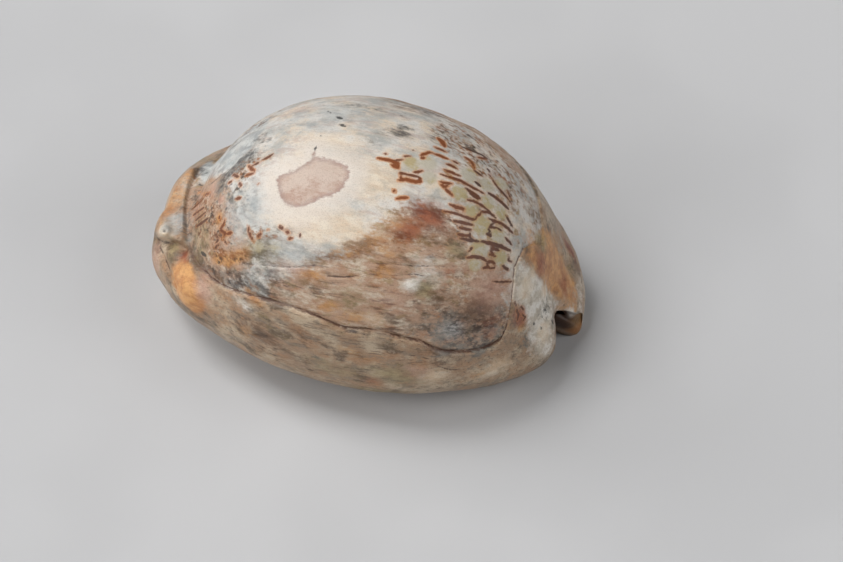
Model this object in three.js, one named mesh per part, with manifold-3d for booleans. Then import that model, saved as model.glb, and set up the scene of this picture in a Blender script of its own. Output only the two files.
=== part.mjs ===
// A worn cowrie shell, lying on its base: one piece, hollow, with the toothed slit of the aperture
// along the base and a canal notch at each end. Millimetres, +Z up. +X runs to the front canal, -Y is
// the outer lip's side and +Y the inner lip's. The origin is under the middle, on the resting plane.
import * as THREE from "three";
import { mergeVertices } from "three/addons/utils/BufferGeometryUtils.js";
import Module from "manifold-3d";

// Overall length, which the other sizes were judged against
const LENGTH = 70;
const HALF_LENGTH = LENGTH / 2;

// The girdle is the widest level. The collar is the low callus egg that runs right round it.
const GIRDLE_Z = 10.9;
const COLLAR_HALF_WIDTH = { outer: 22.5, inner: 23.35 };
const COLLAR_RISE = 13.2;
const COLLAR_POWER = 1.92;
const COLLAR_ROUNDNESS = { upper: 2.2, lower: 2.4 };
const BASE_BULGE = 0.45;

// The dome is the tall egg of the back, which stands in the collar.
const DOME_X = -0.6;
const DOME_BACK = 28.7;
const DOME_FRONT = 34.2;
const DOME_HALF_WIDTH = 23.95;
const DOME_RISE = 27.7;
const DOME_POWER = 2.18;
const DOME_ROUNDNESS = 2.1;
const MEETING_SHARPNESS = 20;

// The aperture line, its slit, and the canals that it ends in
const APERTURE_Y = -2.2;
const CANAL_SHIFT = 0.8;
const BACK_CANAL_DROP = 2.25;
const FRONT_CANAL_DROP = 4.45;
const GAP = { back: 2.8, middle: 5.6, front: 3.2 };
const LIP_ROLL = 2.4;
const LIP_HEIGHT = 5;
const RIM_RADIUS = 2.5;
const RIM_HALF_WIDTH = { back: 3.6, front: 3.2 };
const RIM_Y = { back: 0.2, front: -0.45 };
const CANAL_RADIUS = 1.6;
const RIM_START = 0.95;
const OUTER_SETBACK = { back: 0.8, front: 2.3 };
const SETBACK_POWER = 6;

// The wall, which thickens towards both ends
const WALL_TOP = 3.2;
const WALL_END = 15;
const WALL_END_POWER = 8;
const WALL_EASE = 2;

// The line where the callus of the sides laps on to the back, and the step up on to that callus
const LAP_MIDDLE = -0.05;
const LAP_HALF_LENGTH = 0.81;
const LAP_ANGLE = THREE.MathUtils.degToRad(64);
const LAP_DIP = { angle: THREE.MathUtils.degToRad(9), station: 0.58, spread: 0.2 };
const LAP_CORNER_POWER = 5;
const LAP_REACH = 22;
const LAP_STEP = 0.7;
const LAP_FADE = 9;

// Swellings of the two ends, each at a point on the skin, with its height and reach
const SWELLINGS = [
  { name: "outer lip's rear lobe", at: [-26.5, -15, 13.5], height: 0.9, reach: 5 },
  { name: "inner lip's rear lobe", at: [-32, 2.5, 14.5], height: 1.2, reach: 4.5 },
  { name: "covered spire", at: [-32.2, -5.6, 14], height: 1.3, reach: 1.9 },
  { name: "outer lip's rear flange", at: [-34.2, -5.5, 9.5], height: 0.8, reach: 2.2 },
  { name: "inner lip's front lobe", at: [33.8, 2.5, 8], height: 1.3, reach: 4 },
  { name: "outer lip's front lobe", at: [32.2, -7.5, 8], height: 0.7, reach: 4 },
];

// Teeth: low ribs across the rolled edge of each lip
const TEETH = { count: 23, back: -0.8, front: 0.84, halfWidth: 0.65, depth: 1.9, height: 2.1, stand: 0.45 };

// How finely the skin is cut into facets
const STATIONS = 42;
const OUTER_STEPS = 44;
const INNER_STEPS = OUTER_STEPS / 2;
const LIP_STEPS = 4;

const wasm = await Module();
wasm.setup();

const clamp01 = (value) => THREE.MathUtils.clamp(value, 0, 1);
const bell = (distance, reach) => Math.exp(-((distance / reach) ** 2));

// How an egg closes along its length: 1 at the middle and 0, squarely, at the ends.
function closing(station, power) {
  return Math.sqrt(Math.max(0, 1 - Math.abs(station) ** power));
}

// Larger of two radii, eased where they are alike.
function easedMax(a, b) {
  const most = Math.max(a, b);
  const sum = (a / most) ** MEETING_SHARPNESS + (b / most) ** MEETING_SHARPNESS;
  return most * sum ** (1 / MEETING_SHARPNESS);
}

// Radius of an egg's section in the direction phi, which is 0 at the top and positive towards +Y.
function sectionRadius(phi, egg) {
  const across = Math.sin(phi) < 0 ? egg.outer : egg.inner;
  const along = Math.cos(phi) > 0 ? egg.up : egg.down;
  const power = Math.cos(phi) > 0 ? egg.upperPower : egg.lowerPower;
  const sum = Math.abs(Math.sin(phi) / across) ** power + Math.abs(Math.cos(phi) / along) ** power;
  return sum ** (-1 / power);
}

// Middle line of the aperture, which the sections are centred on.
function apertureY(station) {
  return APERTURE_Y + CANAL_SHIFT * Math.abs(station) ** 3;
}

function axisZ(station) {
  const drop = station < 0 ? BACK_CANAL_DROP : FRONT_CANAL_DROP;
  return GIRDLE_Z - drop * Math.abs(station) ** 3;
}

// The outer lip and the roof of each canal stop short of the inner lip.
function stationX(station, phi) {
  const setback = station < 0 ? OUTER_SETBACK.back : OUTER_SETBACK.front;
  const share = 1 - THREE.MathUtils.smoothstep(phi, 0, Math.PI / 2);
  return station * (HALF_LENGTH - setback * share * station ** SETBACK_POWER);
}

function gapWidth(station) {
  const end = station < 0 ? GAP.back : GAP.front;
  return THREE.MathUtils.lerp(GAP.middle, end, Math.abs(station) ** 3);
}

// Distance past the lap line, in millimetres: negative on the back, positive on the callus.
function pastLap(station, phi) {
  const reach = LAP_ANGLE + LAP_DIP.angle * bell(station - LAP_DIP.station, LAP_DIP.spread);
  const lengthwise = Math.abs((station - LAP_MIDDLE) / LAP_HALF_LENGTH) ** LAP_CORNER_POWER;
  const crosswise = Math.abs(phi / reach) ** LAP_CORNER_POWER;
  return LAP_REACH * ((lengthwise + crosswise) ** (1 / LAP_CORNER_POWER) - 1);
}

function lapRise(station, phi) {
  const past = Math.max(0, pastLap(station, phi));
  return LAP_STEP * clamp01(past) * Math.exp(-past / LAP_FADE) * closing(station, COLLAR_POWER);
}

function pointAt(station, phi, radius) {
  return new THREE.Vector3(
    stationX(station, phi),
    apertureY(station) + radius * Math.sin(phi),
    axisZ(station) + radius * Math.cos(phi),
  );
}

// The two eggs, joined, before the step and the swellings.
function eggRadius(station, phi) {
  const x = station * HALF_LENGTH;
  const end = station < 0 ? "back" : "front";
  const shift = RIM_Y[end] * Math.abs(station) ** 3 - apertureY(station);
  const collarShare = closing(station, COLLAR_POWER);
  const spread = (full, rim = RIM_RADIUS) => THREE.MathUtils.lerp(rim, full, collarShare);
  const collar = sectionRadius(phi, {
    outer: spread(COLLAR_HALF_WIDTH.outer, RIM_HALF_WIDTH[end]) - shift,
    inner: spread(COLLAR_HALF_WIDTH.inner, RIM_HALF_WIDTH[end]) + shift,
    up: spread(COLLAR_RISE),
    down: spread(GIRDLE_Z + BASE_BULGE),
    upperPower: COLLAR_ROUNDNESS.upper,
    lowerPower: COLLAR_ROUNDNESS.lower,
  });
  const along = (x - DOME_X) / (x < DOME_X ? DOME_BACK : DOME_FRONT);
  const domeShare = closing(along, DOME_POWER);
  if (domeShare * DOME_HALF_WIDTH < Math.abs(shift) + RIM_RADIUS) return collar;
  const dome = sectionRadius(phi, {
    outer: domeShare * DOME_HALF_WIDTH - shift,
    inner: domeShare * DOME_HALF_WIDTH + shift,
    up: domeShare * DOME_RISE,
    down: domeShare * GIRDLE_Z,
    upperPower: DOME_ROUNDNESS,
    lowerPower: DOME_ROUNDNESS,
  });
  return easedMax(collar, dome);
}

function outerRadius(station, phi) {
  const egg = eggRadius(station, phi);
  const skin = pointAt(station, phi, egg);
  const rimFade = Math.sqrt(closing(station, COLLAR_POWER));
  const swelling = SWELLINGS.reduce((sum, lobe) => {
    return sum + lobe.height * bell(skin.distanceTo(new THREE.Vector3(...lobe.at)), lobe.reach);
  }, 0);
  return egg + lapRise(station, phi) + swelling * rimFade;
}

// The hollow follows the skin at the wall's thickness, and narrows to the canals at the ends.
function innerRadius(station, phi) {
  const flare = clamp01((Math.abs(station) - RIM_START) / (1 - RIM_START));
  const skin = eggRadius(station, phi);
  const canal = THREE.MathUtils.lerp(CANAL_RADIUS, skin, 1 - Math.sqrt(1 - flare ** 2));
  const low = THREE.MathUtils.smoothstep(-Math.cos(phi), 0, 1);
  const wall = THREE.MathUtils.lerp(WALL_TOP, LIP_HEIGHT, low) + WALL_END * Math.abs(station) ** WALL_END_POWER;
  const room = Math.max(0, skin - wall - canal + WALL_EASE);
  return canal + room ** 2 / (room + WALL_EASE);
}

// One closed C of points: the outer skin from lip to lip, one lip's roll, the hollow, the other lip's roll.
function sectionLoop(station) {
  const roll = LIP_ROLL * closing(station, COLLAR_POWER);
  const lipY = gapWidth(station) / 2 + roll;
  const outerEnd = Math.PI - Math.atan2(lipY, eggRadius(station, Math.PI));
  const innerEnd = Math.PI - Math.atan2(lipY, innerRadius(station, Math.PI));
  const skin = [];
  for (let k = 0; k <= OUTER_STEPS; k++) {
    const phi = outerEnd * ((2 * k) / OUTER_STEPS - 1);
    skin.push(pointAt(station, phi, outerRadius(station, phi)));
  }
  const hollow = [];
  for (let k = 0; k <= INNER_STEPS; k++) {
    const phi = innerEnd * (1 - (2 * k) / INNER_STEPS);
    hollow.push(pointAt(station, phi, innerRadius(station, phi)));
  }
  const innerLip = lipRoll(skin[OUTER_STEPS], hollow[0], -roll);
  const outerLip = lipRoll(hollow[INNER_STEPS], skin[0], roll);
  return [...skin, ...innerLip, ...hollow, ...outerLip];
}

// Half an ellipse from one edge of a lip to the other, standing out into the slit.
function lipRoll(from, to, stand) {
  const points = [];
  for (let k = 1; k < LIP_STEPS; k++) {
    const angle = Math.PI * (k / LIP_STEPS - 0.5);
    const point = from.clone().lerp(to, (1 + Math.sin(angle)) / 2);
    point.y += stand * Math.cos(angle);
    points.push(point);
  }
  return points;
}

// The shell without its teeth: the loops are skinned, and at each end the loop's two sides meet in the rim.
function shellSkin() {
  const loops = [];
  for (let k = 0; k <= STATIONS; k++) {
    loops.push(sectionLoop(Math.sin((Math.PI / 2) * ((2 * k) / STATIONS - 1))));
  }
  const size = loops[0].length;
  const index = [];
  for (let k = 0; k < STATIONS; k++) {
    for (let j = 0; j < size; j++) {
      const next = (j + 1) % size;
      const [a, b, c, d] = [k * size + j, (k + 1) * size + j, (k + 1) * size + next, k * size + next];
      index.push(a, b, c, a, c, d);
    }
  }
  for (let j = 0; j < OUTER_STEPS; j += 2) {
    const front = STATIONS * size + j;
    index.push(j, j + 1, j + 2, front + 2, front + 1, front);
  }
  const geometry = new THREE.BufferGeometry();
  geometry.setAttribute("position", new THREE.Float32BufferAttribute(loops.flat().flatMap((p) => p.toArray()), 3));
  geometry.setIndex(index);
  return geometry;
}

function toSolid(geometry) {
  const bare = geometry.clone();
  bare.deleteAttribute("normal");
  bare.deleteAttribute("uv");
  const merged = mergeVertices(bare, 1e-4);
  const corners = merged.index.array;
  const triVerts = [];
  for (let k = 0; k < corners.length; k += 3) {
    const [a, b, c] = [corners[k], corners[k + 1], corners[k + 2]];
    if (a !== b && b !== c && a !== c) triVerts.push(a, b, c);
  }
  return new wasm.Manifold(
    new wasm.Mesh({
      numProp: 3,
      vertProperties: merged.attributes.position.array,
      triVerts: new Uint32Array(triVerts),
    }),
  );
}

function toGeometry(solid) {
  const mesh = solid.getMesh();
  const geometry = new THREE.BufferGeometry();
  geometry.setAttribute("position", new THREE.BufferAttribute(mesh.vertProperties, 3));
  geometry.setIndex(new THREE.BufferAttribute(mesh.triVerts, 1));
  geometry.computeVertexNormals();
  return geometry;
}

// One tooth: a small flattened ball set into the rolled edge of a lip, on side -1 or +1 of the slit.
function tooth(station, side) {
  const roll = LIP_ROLL * closing(station, COLLAR_POWER);
  const bottom = axisZ(station) - eggRadius(station, Math.PI);
  const lip = gapWidth(station) / 2 + TEETH.depth - TEETH.stand;
  const ball = new THREE.SphereGeometry(1, 6, 4);
  ball.scale(TEETH.halfWidth, TEETH.depth, TEETH.height);
  ball.translate(station * HALF_LENGTH, apertureY(station) + side * lip, bottom + LIP_HEIGHT / 2 - roll * 0.2);
  return toSolid(ball);
}

function addTeeth(shell) {
  let toothed = shell;
  for (const side of [-1, 1]) {
    for (let k = 0; k < TEETH.count; k++) {
      const station = THREE.MathUtils.lerp(TEETH.back, TEETH.front, k / (TEETH.count - 1));
      toothed = toothed.add(tooth(station, side));
    }
  }
  return toothed;
}

// The base is worn flat where the shell rests.
function wearFlat(shell) {
  const table = new THREE.BoxGeometry(2 * LENGTH, 2 * LENGTH, GIRDLE_Z);
  table.translate(0, 0, -GIRDLE_Z / 2);
  return shell.subtract(toSolid(table));
}

// The origin goes under the middle of the overall box.
function centred(geometry) {
  geometry.computeBoundingBox();
  const middle = geometry.boundingBox.getCenter(new THREE.Vector3());
  return geometry.translate(-middle.x, -middle.y, 0);
}

const shell = new THREE.Mesh(
  centred(toGeometry(wearFlat(addTeeth(toSolid(shellSkin()))))),
  new THREE.MeshStandardMaterial({ color: 0xb9a796, roughness: 0.5, metalness: 0 }),
);
shell.name = "shell";

const cowrie = new THREE.Group();
cowrie.add(shell);
export default cowrie;
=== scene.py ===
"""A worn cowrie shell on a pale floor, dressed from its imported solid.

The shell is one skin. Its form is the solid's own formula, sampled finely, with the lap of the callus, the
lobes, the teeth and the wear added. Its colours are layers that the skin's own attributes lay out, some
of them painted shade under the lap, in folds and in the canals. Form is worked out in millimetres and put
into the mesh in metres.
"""

import logging
import math
from dataclasses import dataclass, field
from enum import Enum
from typing import Any, Mapping, Optional, Sequence, Union

import bpy
import numpy as np
from mathutils import Matrix, Vector


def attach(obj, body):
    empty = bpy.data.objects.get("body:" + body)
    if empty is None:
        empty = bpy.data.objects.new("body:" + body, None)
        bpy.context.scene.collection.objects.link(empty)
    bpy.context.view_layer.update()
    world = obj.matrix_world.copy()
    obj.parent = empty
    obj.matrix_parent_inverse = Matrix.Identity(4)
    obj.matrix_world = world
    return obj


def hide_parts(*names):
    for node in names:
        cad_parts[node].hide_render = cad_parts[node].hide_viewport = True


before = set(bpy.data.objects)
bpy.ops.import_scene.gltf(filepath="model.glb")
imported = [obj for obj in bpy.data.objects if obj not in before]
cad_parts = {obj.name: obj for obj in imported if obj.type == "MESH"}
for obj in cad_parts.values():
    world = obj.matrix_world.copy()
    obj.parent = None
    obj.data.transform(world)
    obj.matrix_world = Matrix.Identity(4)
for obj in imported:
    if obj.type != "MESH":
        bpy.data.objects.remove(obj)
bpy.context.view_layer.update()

MM = 0.001
DENSITY_SAMPLES = 4001
LOG = logging.getLogger("cowrie")
Array = np.ndarray
Pixel = tuple[float, float]
Span = tuple[float, float]
Socket = bpy.types.NodeSocket
Colour = tuple[float, float, float, float]


def pigment(red: int, green: int, blue: int) -> Colour:
    """Turns a colour of 0 to 255 on a screen into the linear colour that a shader takes."""
    def linear(level: int) -> float:
        """Undoes the screen's curve for one channel."""
        share = level / 255
        return share / 12.92 if share <= 0.04045 else ((share + 0.055) / 1.055) ** 2.4
    return linear(red), linear(green), linear(blue), 1.0


def bell(distance: Array, reach: float) -> Array:
    """A smooth hump: 1 at no distance, falling to nothing past twice the reach."""
    return np.exp(-np.square(distance / reach))


def ease(value: Array, low: float, high: float) -> Array:
    """Goes from 0 at low to 1 at high with no corner at either."""
    share = np.clip((value - low) / (high - low), 0, 1)
    return share * share * (3 - 2 * share)


def closing(station: Array, power: float) -> Array:
    """How an egg closes along its length: 1 at the middle and 0, squarely, at the ends."""
    return np.sqrt(np.clip(1 - np.abs(station) ** power, 0, None))


def spaced(density: Sequence[tuple[float, float]], count: int) -> Array:
    """Spreads values from -1 to 1, closer together where they are wanted.

    Args:
        density: Pairs of a place from -1 to 1 and how thickly values lie there.
        count: How many steps there are.

    Returns:
        count + 1 rising values: equal shares of the running total of the density.
    """
    fine = np.linspace(-1, 1, DENSITY_SAMPLES)
    places, weights = zip(*density)
    total = np.cumsum(np.interp(fine, places, weights))
    total = (total - total[0]) / (total[-1] - total[0])
    return np.interp(np.linspace(0, 1, count + 1), total, fine)


class LatticeNoise:
    """Smooth noise in space, from a lattice of seeded random values that repeats every SIZE points."""

    SIZE = 32
    LAYER_SHIFT = 7.3

    def __init__(self, seed: int) -> None:
        """Draws the lattice."""
        self.values = np.random.default_rng(seed).uniform(-1, 1, (self.SIZE,) * 3)

    def at(self, points: Array, pitch: Union[float, tuple[float, float, float]]) -> Array:
        """Blends the eight lattice values around each point.

        Args:
            points: Places in space, in millimetres, along the last axis.
            pitch: Distance between lattice points, or one distance along each axis.

        Returns:
            One value from -1 to 1 for each point.
        """
        cell = points / np.asarray(pitch)
        corner = np.floor(cell).astype(int)
        share = ease(cell - corner, 0, 1)
        total = np.zeros(points.shape[:-1])
        for step in np.ndindex(2, 2, 2):
            weight = np.prod(np.where(np.array(step) == 1, share, 1 - share), axis=-1)
            total += weight * self.values[tuple(np.moveaxis((corner + step) % self.SIZE, -1, 0))]
        return total

    def layered(self, points: Array, pitch: float, layers: int = 3) -> Array:
        """Sums finer and fainter noise on coarser: each layer has half the pitch and half the height."""
        return sum(self.at(points + self.LAYER_SHIFT * k, pitch / 2**k) / 2**k for k in range(layers))


@dataclass(frozen=True)
class PhotoView:
    """The photograph's viewpoint as a pinhole camera. Lengths in millimetres, in the part's frame."""

    width_px: int = 843
    height_px: int = 562
    azimuth_deg: float = 14.25
    elevation_deg: float = 52.3
    distance: float = 600.0
    px_per_mm: float = 6.204
    target: tuple[float, float, float] = (0.0, -0.15, 15.0)
    right_of_target: float = 8.75
    above_target: float = -6.65
    sensor_width: float = 36.0
    clips_m: Span = (0.01, 20.0)

    def axes(self) -> tuple[Array, Array, Array]:
        """Gives the view's right, up and backward directions."""
        turn, rise = math.radians(self.azimuth_deg), math.radians(self.elevation_deg)
        right = np.array([math.cos(turn), math.sin(turn), 0.0])
        back = np.array([math.sin(turn) * math.cos(rise), -math.cos(turn) * math.cos(rise), math.sin(rise)])
        return right, np.cross(back, right), back

    def eye(self) -> Array:
        """Gives the place of the camera."""
        right, up, back = self.axes()
        aim = np.array(self.target) + right * self.right_of_target + up * self.above_target
        return aim + back * self.distance

    def project(self, points: Array) -> Array:
        """Finds the pixel that each point is seen at.

        Args:
            points: Places in millimetres, along the last axis.

        Returns:
            Pixels from the photograph's top left corner, along the last axis.
        """
        right, up, back = self.axes()
        away = points - self.eye()
        scale = self.px_per_mm * self.distance / -(away @ back)
        return np.stack([self.width_px / 2 + (away @ right) * scale,
                         self.height_px / 2 - (away @ up) * scale], axis=-1)

    def make_camera(self) -> bpy.types.Object:
        """Makes the scene's camera at this viewpoint.

        Returns:
            The camera object, already set as the scene's camera.
        """
        data = bpy.data.cameras.new("photo_view")
        data.sensor_fit = "HORIZONTAL"
        data.sensor_width = self.sensor_width
        data.lens = self.px_per_mm * self.distance / self.width_px * self.sensor_width
        data.clip_start, data.clip_end = self.clips_m
        camera = bpy.data.objects.new("photo_view", data)
        turned = Matrix(np.stack(self.axes(), axis=1).tolist()).to_4x4()
        camera.matrix_world = Matrix.Translation(Vector(self.eye() * MM)) @ turned
        bpy.context.scene.collection.objects.link(camera)
        bpy.context.scene.camera = camera
        return camera


@dataclass(frozen=True)
class Swelling:
    """A lobe of the form: where it stands, in millimetres, how far it stands out, and how far it spreads."""

    name: str
    at: tuple[float, float, float]
    height: float
    reach: float


@dataclass
class ShellForm:
    """The form of the shell, in millimetres: two eggs, one in the other, hollowed and slit along the base.

    A place on it is a station, from -1 at the rear end to 1 at the front, and an angle, 0 at the top,
    negative on the outer lip's side and positive on the inner lip's.
    """

    length: float = 70.0
    girdle_z: float = 10.9
    collar_half_width: tuple[float, float] = (22.5, 23.35)
    collar_rise: float = 13.2
    collar_power: float = 1.92
    collar_roundness: tuple[float, float] = (2.2, 2.4)
    base_bulge: float = 0.45
    dome_x: float = -0.6
    dome_back: float = 28.7
    dome_front: float = 34.2
    dome_half_width: float = 23.95
    dome_rise: float = 27.7
    dome_power: float = 2.18
    dome_roundness: float = 2.1
    meeting_sharpness: float = 20.0
    no_dome: float = 1e-3
    end_power: int = 3
    aperture_mid_y: float = -2.2
    canal_shift: float = 0.8
    canal_drop: tuple[float, float] = (2.25, 4.45)
    gap_ends: tuple[float, float] = (2.8, 3.2)
    gap_middle: float = 5.6
    lip_roll: float = 2.4
    lip_height: float = 5.0
    rim_radius: float = 2.5
    rim_half_width: tuple[float, float] = (3.6, 3.2)
    rim_y: tuple[float, float] = (0.2, -0.45)
    canal_radius: float = 1.6
    rim_start: float = 0.95
    rim_round: float = 0.85
    rim_run: float = 1.3
    corner_turn: float = 0.6
    corner_run: float = 2.4
    outer_setback: tuple[float, float] = (0.8, 2.3)
    setback_power: float = 6.0
    wall_top: float = 3.2
    wall_end: float = 15.0
    wall_end_power: float = 8.0
    wall_ease: float = 2.0
    swellings: tuple[Swelling, ...] = (
        Swelling("outer lip's rear lobe", (-26.5, -15, 13.5), 0.9, 5),
        Swelling("inner lip's rear lobe", (-32, 2.5, 14.5), 1.2, 4.5),
        Swelling("covered spire", (-32.2, -5.6, 14), 1.3, 1.9),
        Swelling("outer lip's rear flange", (-34.2, -5.5, 9.5), 0.8, 2.2),
        Swelling("inner lip's front lobe", (33.8, 2.5, 8), 1.3, 4),
        Swelling("outer lip's front lobe", (32.2, -7.5, 8), 0.7, 4),
    )

    @staticmethod
    def by_end(station: Array, pair: tuple[float, float]) -> Array:
        """Picks the rear end's value behind the middle, and the front end's elsewhere."""
        return np.where(station < 0, pair[0], pair[1])

    def near_end(self, station: Array) -> Array:
        """How near an end a station is: 0 at the middle, 1 at both ends, and rising late."""
        return np.abs(station) ** self.end_power

    def aperture_y(self, station: Array) -> Array:
        """The middle line of the slit, which the sections are centred on."""
        return self.aperture_mid_y + self.canal_shift * self.near_end(station)

    def axis_z(self, station: Array) -> Array:
        """The height of the sections' centre, which drops towards both canals."""
        return self.girdle_z - self.by_end(station, self.canal_drop) * self.near_end(station)

    def x_at(self, station: Array, angle: Array) -> Array:
        """The place along the shell: the outer lip and the canals' roofs stop short of the inner lip."""
        share = 1 - ease(angle, 0, math.pi / 2)
        setback = self.by_end(station, self.outer_setback) * share * np.abs(station) ** self.setback_power
        return station * (self.length / 2 - setback)

    def gap(self, station: Array) -> Array:
        """The width of the slit."""
        share = self.near_end(station)
        return self.gap_middle * (1 - share) + self.by_end(station, self.gap_ends) * share

    @staticmethod
    def section(angle: Array, across: tuple[Array, Array], along: tuple[Array, Array],
                powers: tuple[float, float]) -> Array:
        """Radius of an egg's section: a superellipse with its own half-axis on each of the four sides.

        Args:
            angle: Direction from the centre.
            across: Half-widths on the outer and the inner lip's side.
            along: Half-heights above and below.
            powers: The superellipse's power above and below.

        Returns:
            (|sin / width| ^ n + |cos / height| ^ n) ^ (-1 / n) in each direction.
        """
        sine, cosine = np.sin(angle), np.cos(angle)
        width = np.where(sine < 0, across[0], across[1])
        height = np.where(cosine > 0, along[0], along[1])
        power = np.where(cosine > 0, powers[0], powers[1])
        return (np.abs(sine / width) ** power + np.abs(cosine / height) ** power) ** (-1 / power)

    def egg_radius(self, station: Array, angle: Array) -> Array:
        """Radius of the two eggs joined: the larger of the collar and the dome, eased where they meet."""
        x = station * self.length / 2
        shift = self.by_end(station, self.rim_y) * self.near_end(station) - self.aperture_y(station)
        share = closing(station, self.collar_power)
        rim = self.by_end(station, self.rim_half_width)
        collar = self.section(
            angle,
            (rim + (self.collar_half_width[0] - rim) * share - shift,
             rim + (self.collar_half_width[1] - rim) * share + shift),
            (self.rim_radius + (self.collar_rise - self.rim_radius) * share,
             self.rim_radius + (self.girdle_z + self.base_bulge - self.rim_radius) * share),
            self.collar_roundness)
        along = (x - self.dome_x) / np.where(x < self.dome_x, self.dome_back, self.dome_front)
        dome_share = closing(along, self.dome_power)
        stands = dome_share * self.dome_half_width > np.abs(shift) + self.rim_radius
        dome_share = np.where(stands, dome_share, 1.0)
        dome = self.section(
            angle,
            (dome_share * self.dome_half_width - shift, dome_share * self.dome_half_width + shift),
            (dome_share * self.dome_rise, dome_share * self.girdle_z),
            (self.dome_roundness, self.dome_roundness))
        dome = np.where(stands, dome, self.no_dome)
        most = np.maximum(collar, dome)
        power = self.meeting_sharpness
        return most * ((collar / most) ** power + (dome / most) ** power) ** (1 / power)

    def place(self, station: Array, angle: Array, radius: Array) -> Array:
        """Turns stations, angles and radii into points in space."""
        return np.stack([self.x_at(station, angle),
                         self.aperture_y(station) + radius * np.sin(angle),
                         self.axis_z(station) + radius * np.cos(angle)], axis=-1)

    def swollen_radius(self, station: Array, angle: Array) -> Array:
        """Radius of the eggs with their lobes."""
        radius = self.egg_radius(station, angle)
        skin = self.place(station, angle, radius)
        fade = np.sqrt(closing(station, self.collar_power))
        lobes = sum(lobe.height * bell(np.linalg.norm(skin - np.array(lobe.at), axis=-1), lobe.reach)
                    for lobe in self.swellings)
        return radius + lobes * fade

    def rim_turn(self, station: Array) -> Array:
        """How far the skin turns in at both ends, as a quarter round, so that no canal has a sharp edge."""
        share = np.clip((np.abs(station) - 1) * self.length / 2 / self.rim_run + 1, 0, 1)
        return self.rim_round * (1 - np.sqrt(1 - share**2))

    def lip_corner(self, station: Array) -> Array:
        """How far round the lips draw back from the slit at both ends, as a quarter round, in radians."""
        share = np.clip((np.abs(station) - 1) * self.length / 2 / self.corner_run + 1, 0, 1)
        return self.corner_turn * (1 - np.sqrt(1 - share**2))

    def hollow_radius(self, station: Array, angle: Array) -> Array:
        """Radius of the hollow, which follows the skin at the wall's thickness and narrows to the canals."""
        skin = self.egg_radius(station, angle)
        flare = np.clip((np.abs(station) - self.rim_start) / (1 - self.rim_start), 0, 1)
        canal = self.canal_radius + (skin - self.rim_round - self.canal_radius) * (1 - np.sqrt(1 - flare**2))
        low = ease(-np.cos(angle), 0, 1)
        wall = self.wall_top + (self.lip_height - self.wall_top) * low
        wall = wall + self.wall_end * np.abs(station) ** self.wall_end_power
        room = np.clip(skin - wall - canal + self.wall_ease, 0, None)
        return canal + room**2 / (room + self.wall_ease)

    def lip_reach(self, station: Array) -> Array:
        """How far the lips' rolls begin from the slit's middle line."""
        return self.gap(station) / 2 + self.lip_roll * closing(station, self.collar_power)


class Tone(Enum):
    """The stains that lie on the shell, some of them painted shade. The value names the skin's attribute that
    says where each one is.
    """

    WHITE = "tone_white"
    CREAM = "tone_cream"
    BLUE_GREY = "tone_blue_grey"
    SLATE = "tone_slate"
    TAN = "tone_tan"
    UMBER = "tone_umber"
    OCHRE = "tone_ochre"
    ORANGE = "tone_orange"
    RUST = "tone_rust"
    PINK = "tone_pink"
    OLIVE = "tone_olive"
    FLECK = "tone_fleck"


@dataclass(frozen=True)
class Stain:
    """An oval stain, some of them painted shade: its middle in the photograph, its half-lengths along and
    across, and its turn.
    """

    name: str
    at_px: Pixel
    reach: tuple[float, float]
    strength: float = 1.0
    turn_deg: float = 0.0


@dataclass(frozen=True)
class Patch:
    """A stain with an outline of its own, some of it painted shade, and how softly its edge fades, in
    millimetres.

    The outline's corners are pixels or, on the hidden side, millimetres along and degrees round.
    """

    name: str
    tone: Tone
    outline: tuple[Pixel, ...]
    softness: float = 1.0
    strength: float = 1.0


@dataclass(frozen=True)
class Stroke:
    """A brown dash: its path in the photograph, half its width in millimetres, and how warm its brown is."""

    path_px: tuple[Pixel, ...]
    half_width: float = 0.24
    warmth: float = 0.5


def stains(*rows: tuple[Any, ...]) -> tuple[Stain, ...]:
    """Makes stains from rows of their values."""
    return tuple(Stain(*row) for row in rows)


def dashes(*rows: tuple[Any, ...]) -> tuple[Stroke, ...]:
    """Makes dashes from rows of half a width, a warmth and the path's pixels."""
    return tuple(Stroke(tuple(path), half_width, warmth) for half_width, warmth, *path in rows)


@dataclass(frozen=True)
class Lump:
    """A small rise or, with a negative height, a pit of the skin, at a place in the photograph."""

    name: str
    at_px: Pixel
    height: float
    reach: float


@dataclass(frozen=True)
class Crease:
    """A ridge or, with a negative height, a fold of the skin along a path in the photograph."""

    name: str
    path_px: tuple[Pixel, ...]
    height: float
    reach: float


WORN_OUTLINE: tuple[Pixel, ...] = (
    (277, 176), (278, 188), (281, 198), (287, 205), (296, 208), (304, 206), (311, 203), (318, 200),
    (327, 197), (338, 193), (345, 185), (351, 175), (347, 166), (337, 160), (324, 158), (317, 157),
    (316, 150), (313, 151), (312, 159), (303, 165), (293, 170), (284, 173),
)

LAP_NEAR_PX: tuple[Pixel, ...] = (
    (197, 175), (194, 180), (190, 188), (187, 200), (186.5, 215), (187, 230), (189, 245), (194, 258),
    (202, 268), (214, 280), (228, 288), (245, 293), (258, 297), (270, 300), (290, 306), (310, 313),
    (330, 322), (345, 328), (365, 329), (385, 333), (405, 338), (420, 341), (432, 347), (445, 351),
    (458, 352), (470, 351), (485, 347), (500, 340), (507, 325), (510, 308), (512, 295), (513, 280),
    (514, 268), (518, 258), (523, 248), (532, 243),
)
LAP_HUB: tuple[float, float, float] = (-1.0, -0.5, 9.0)
LAP_FAR: tuple[tuple[float, float], ...] = (
    (28.5, 8), (27.5, 22), (25, 38), (20, 50), (11, 57), (0, 61), (-10, 62), (-18, 62), (-24, 58),
    (-28, 44),
)

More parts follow.
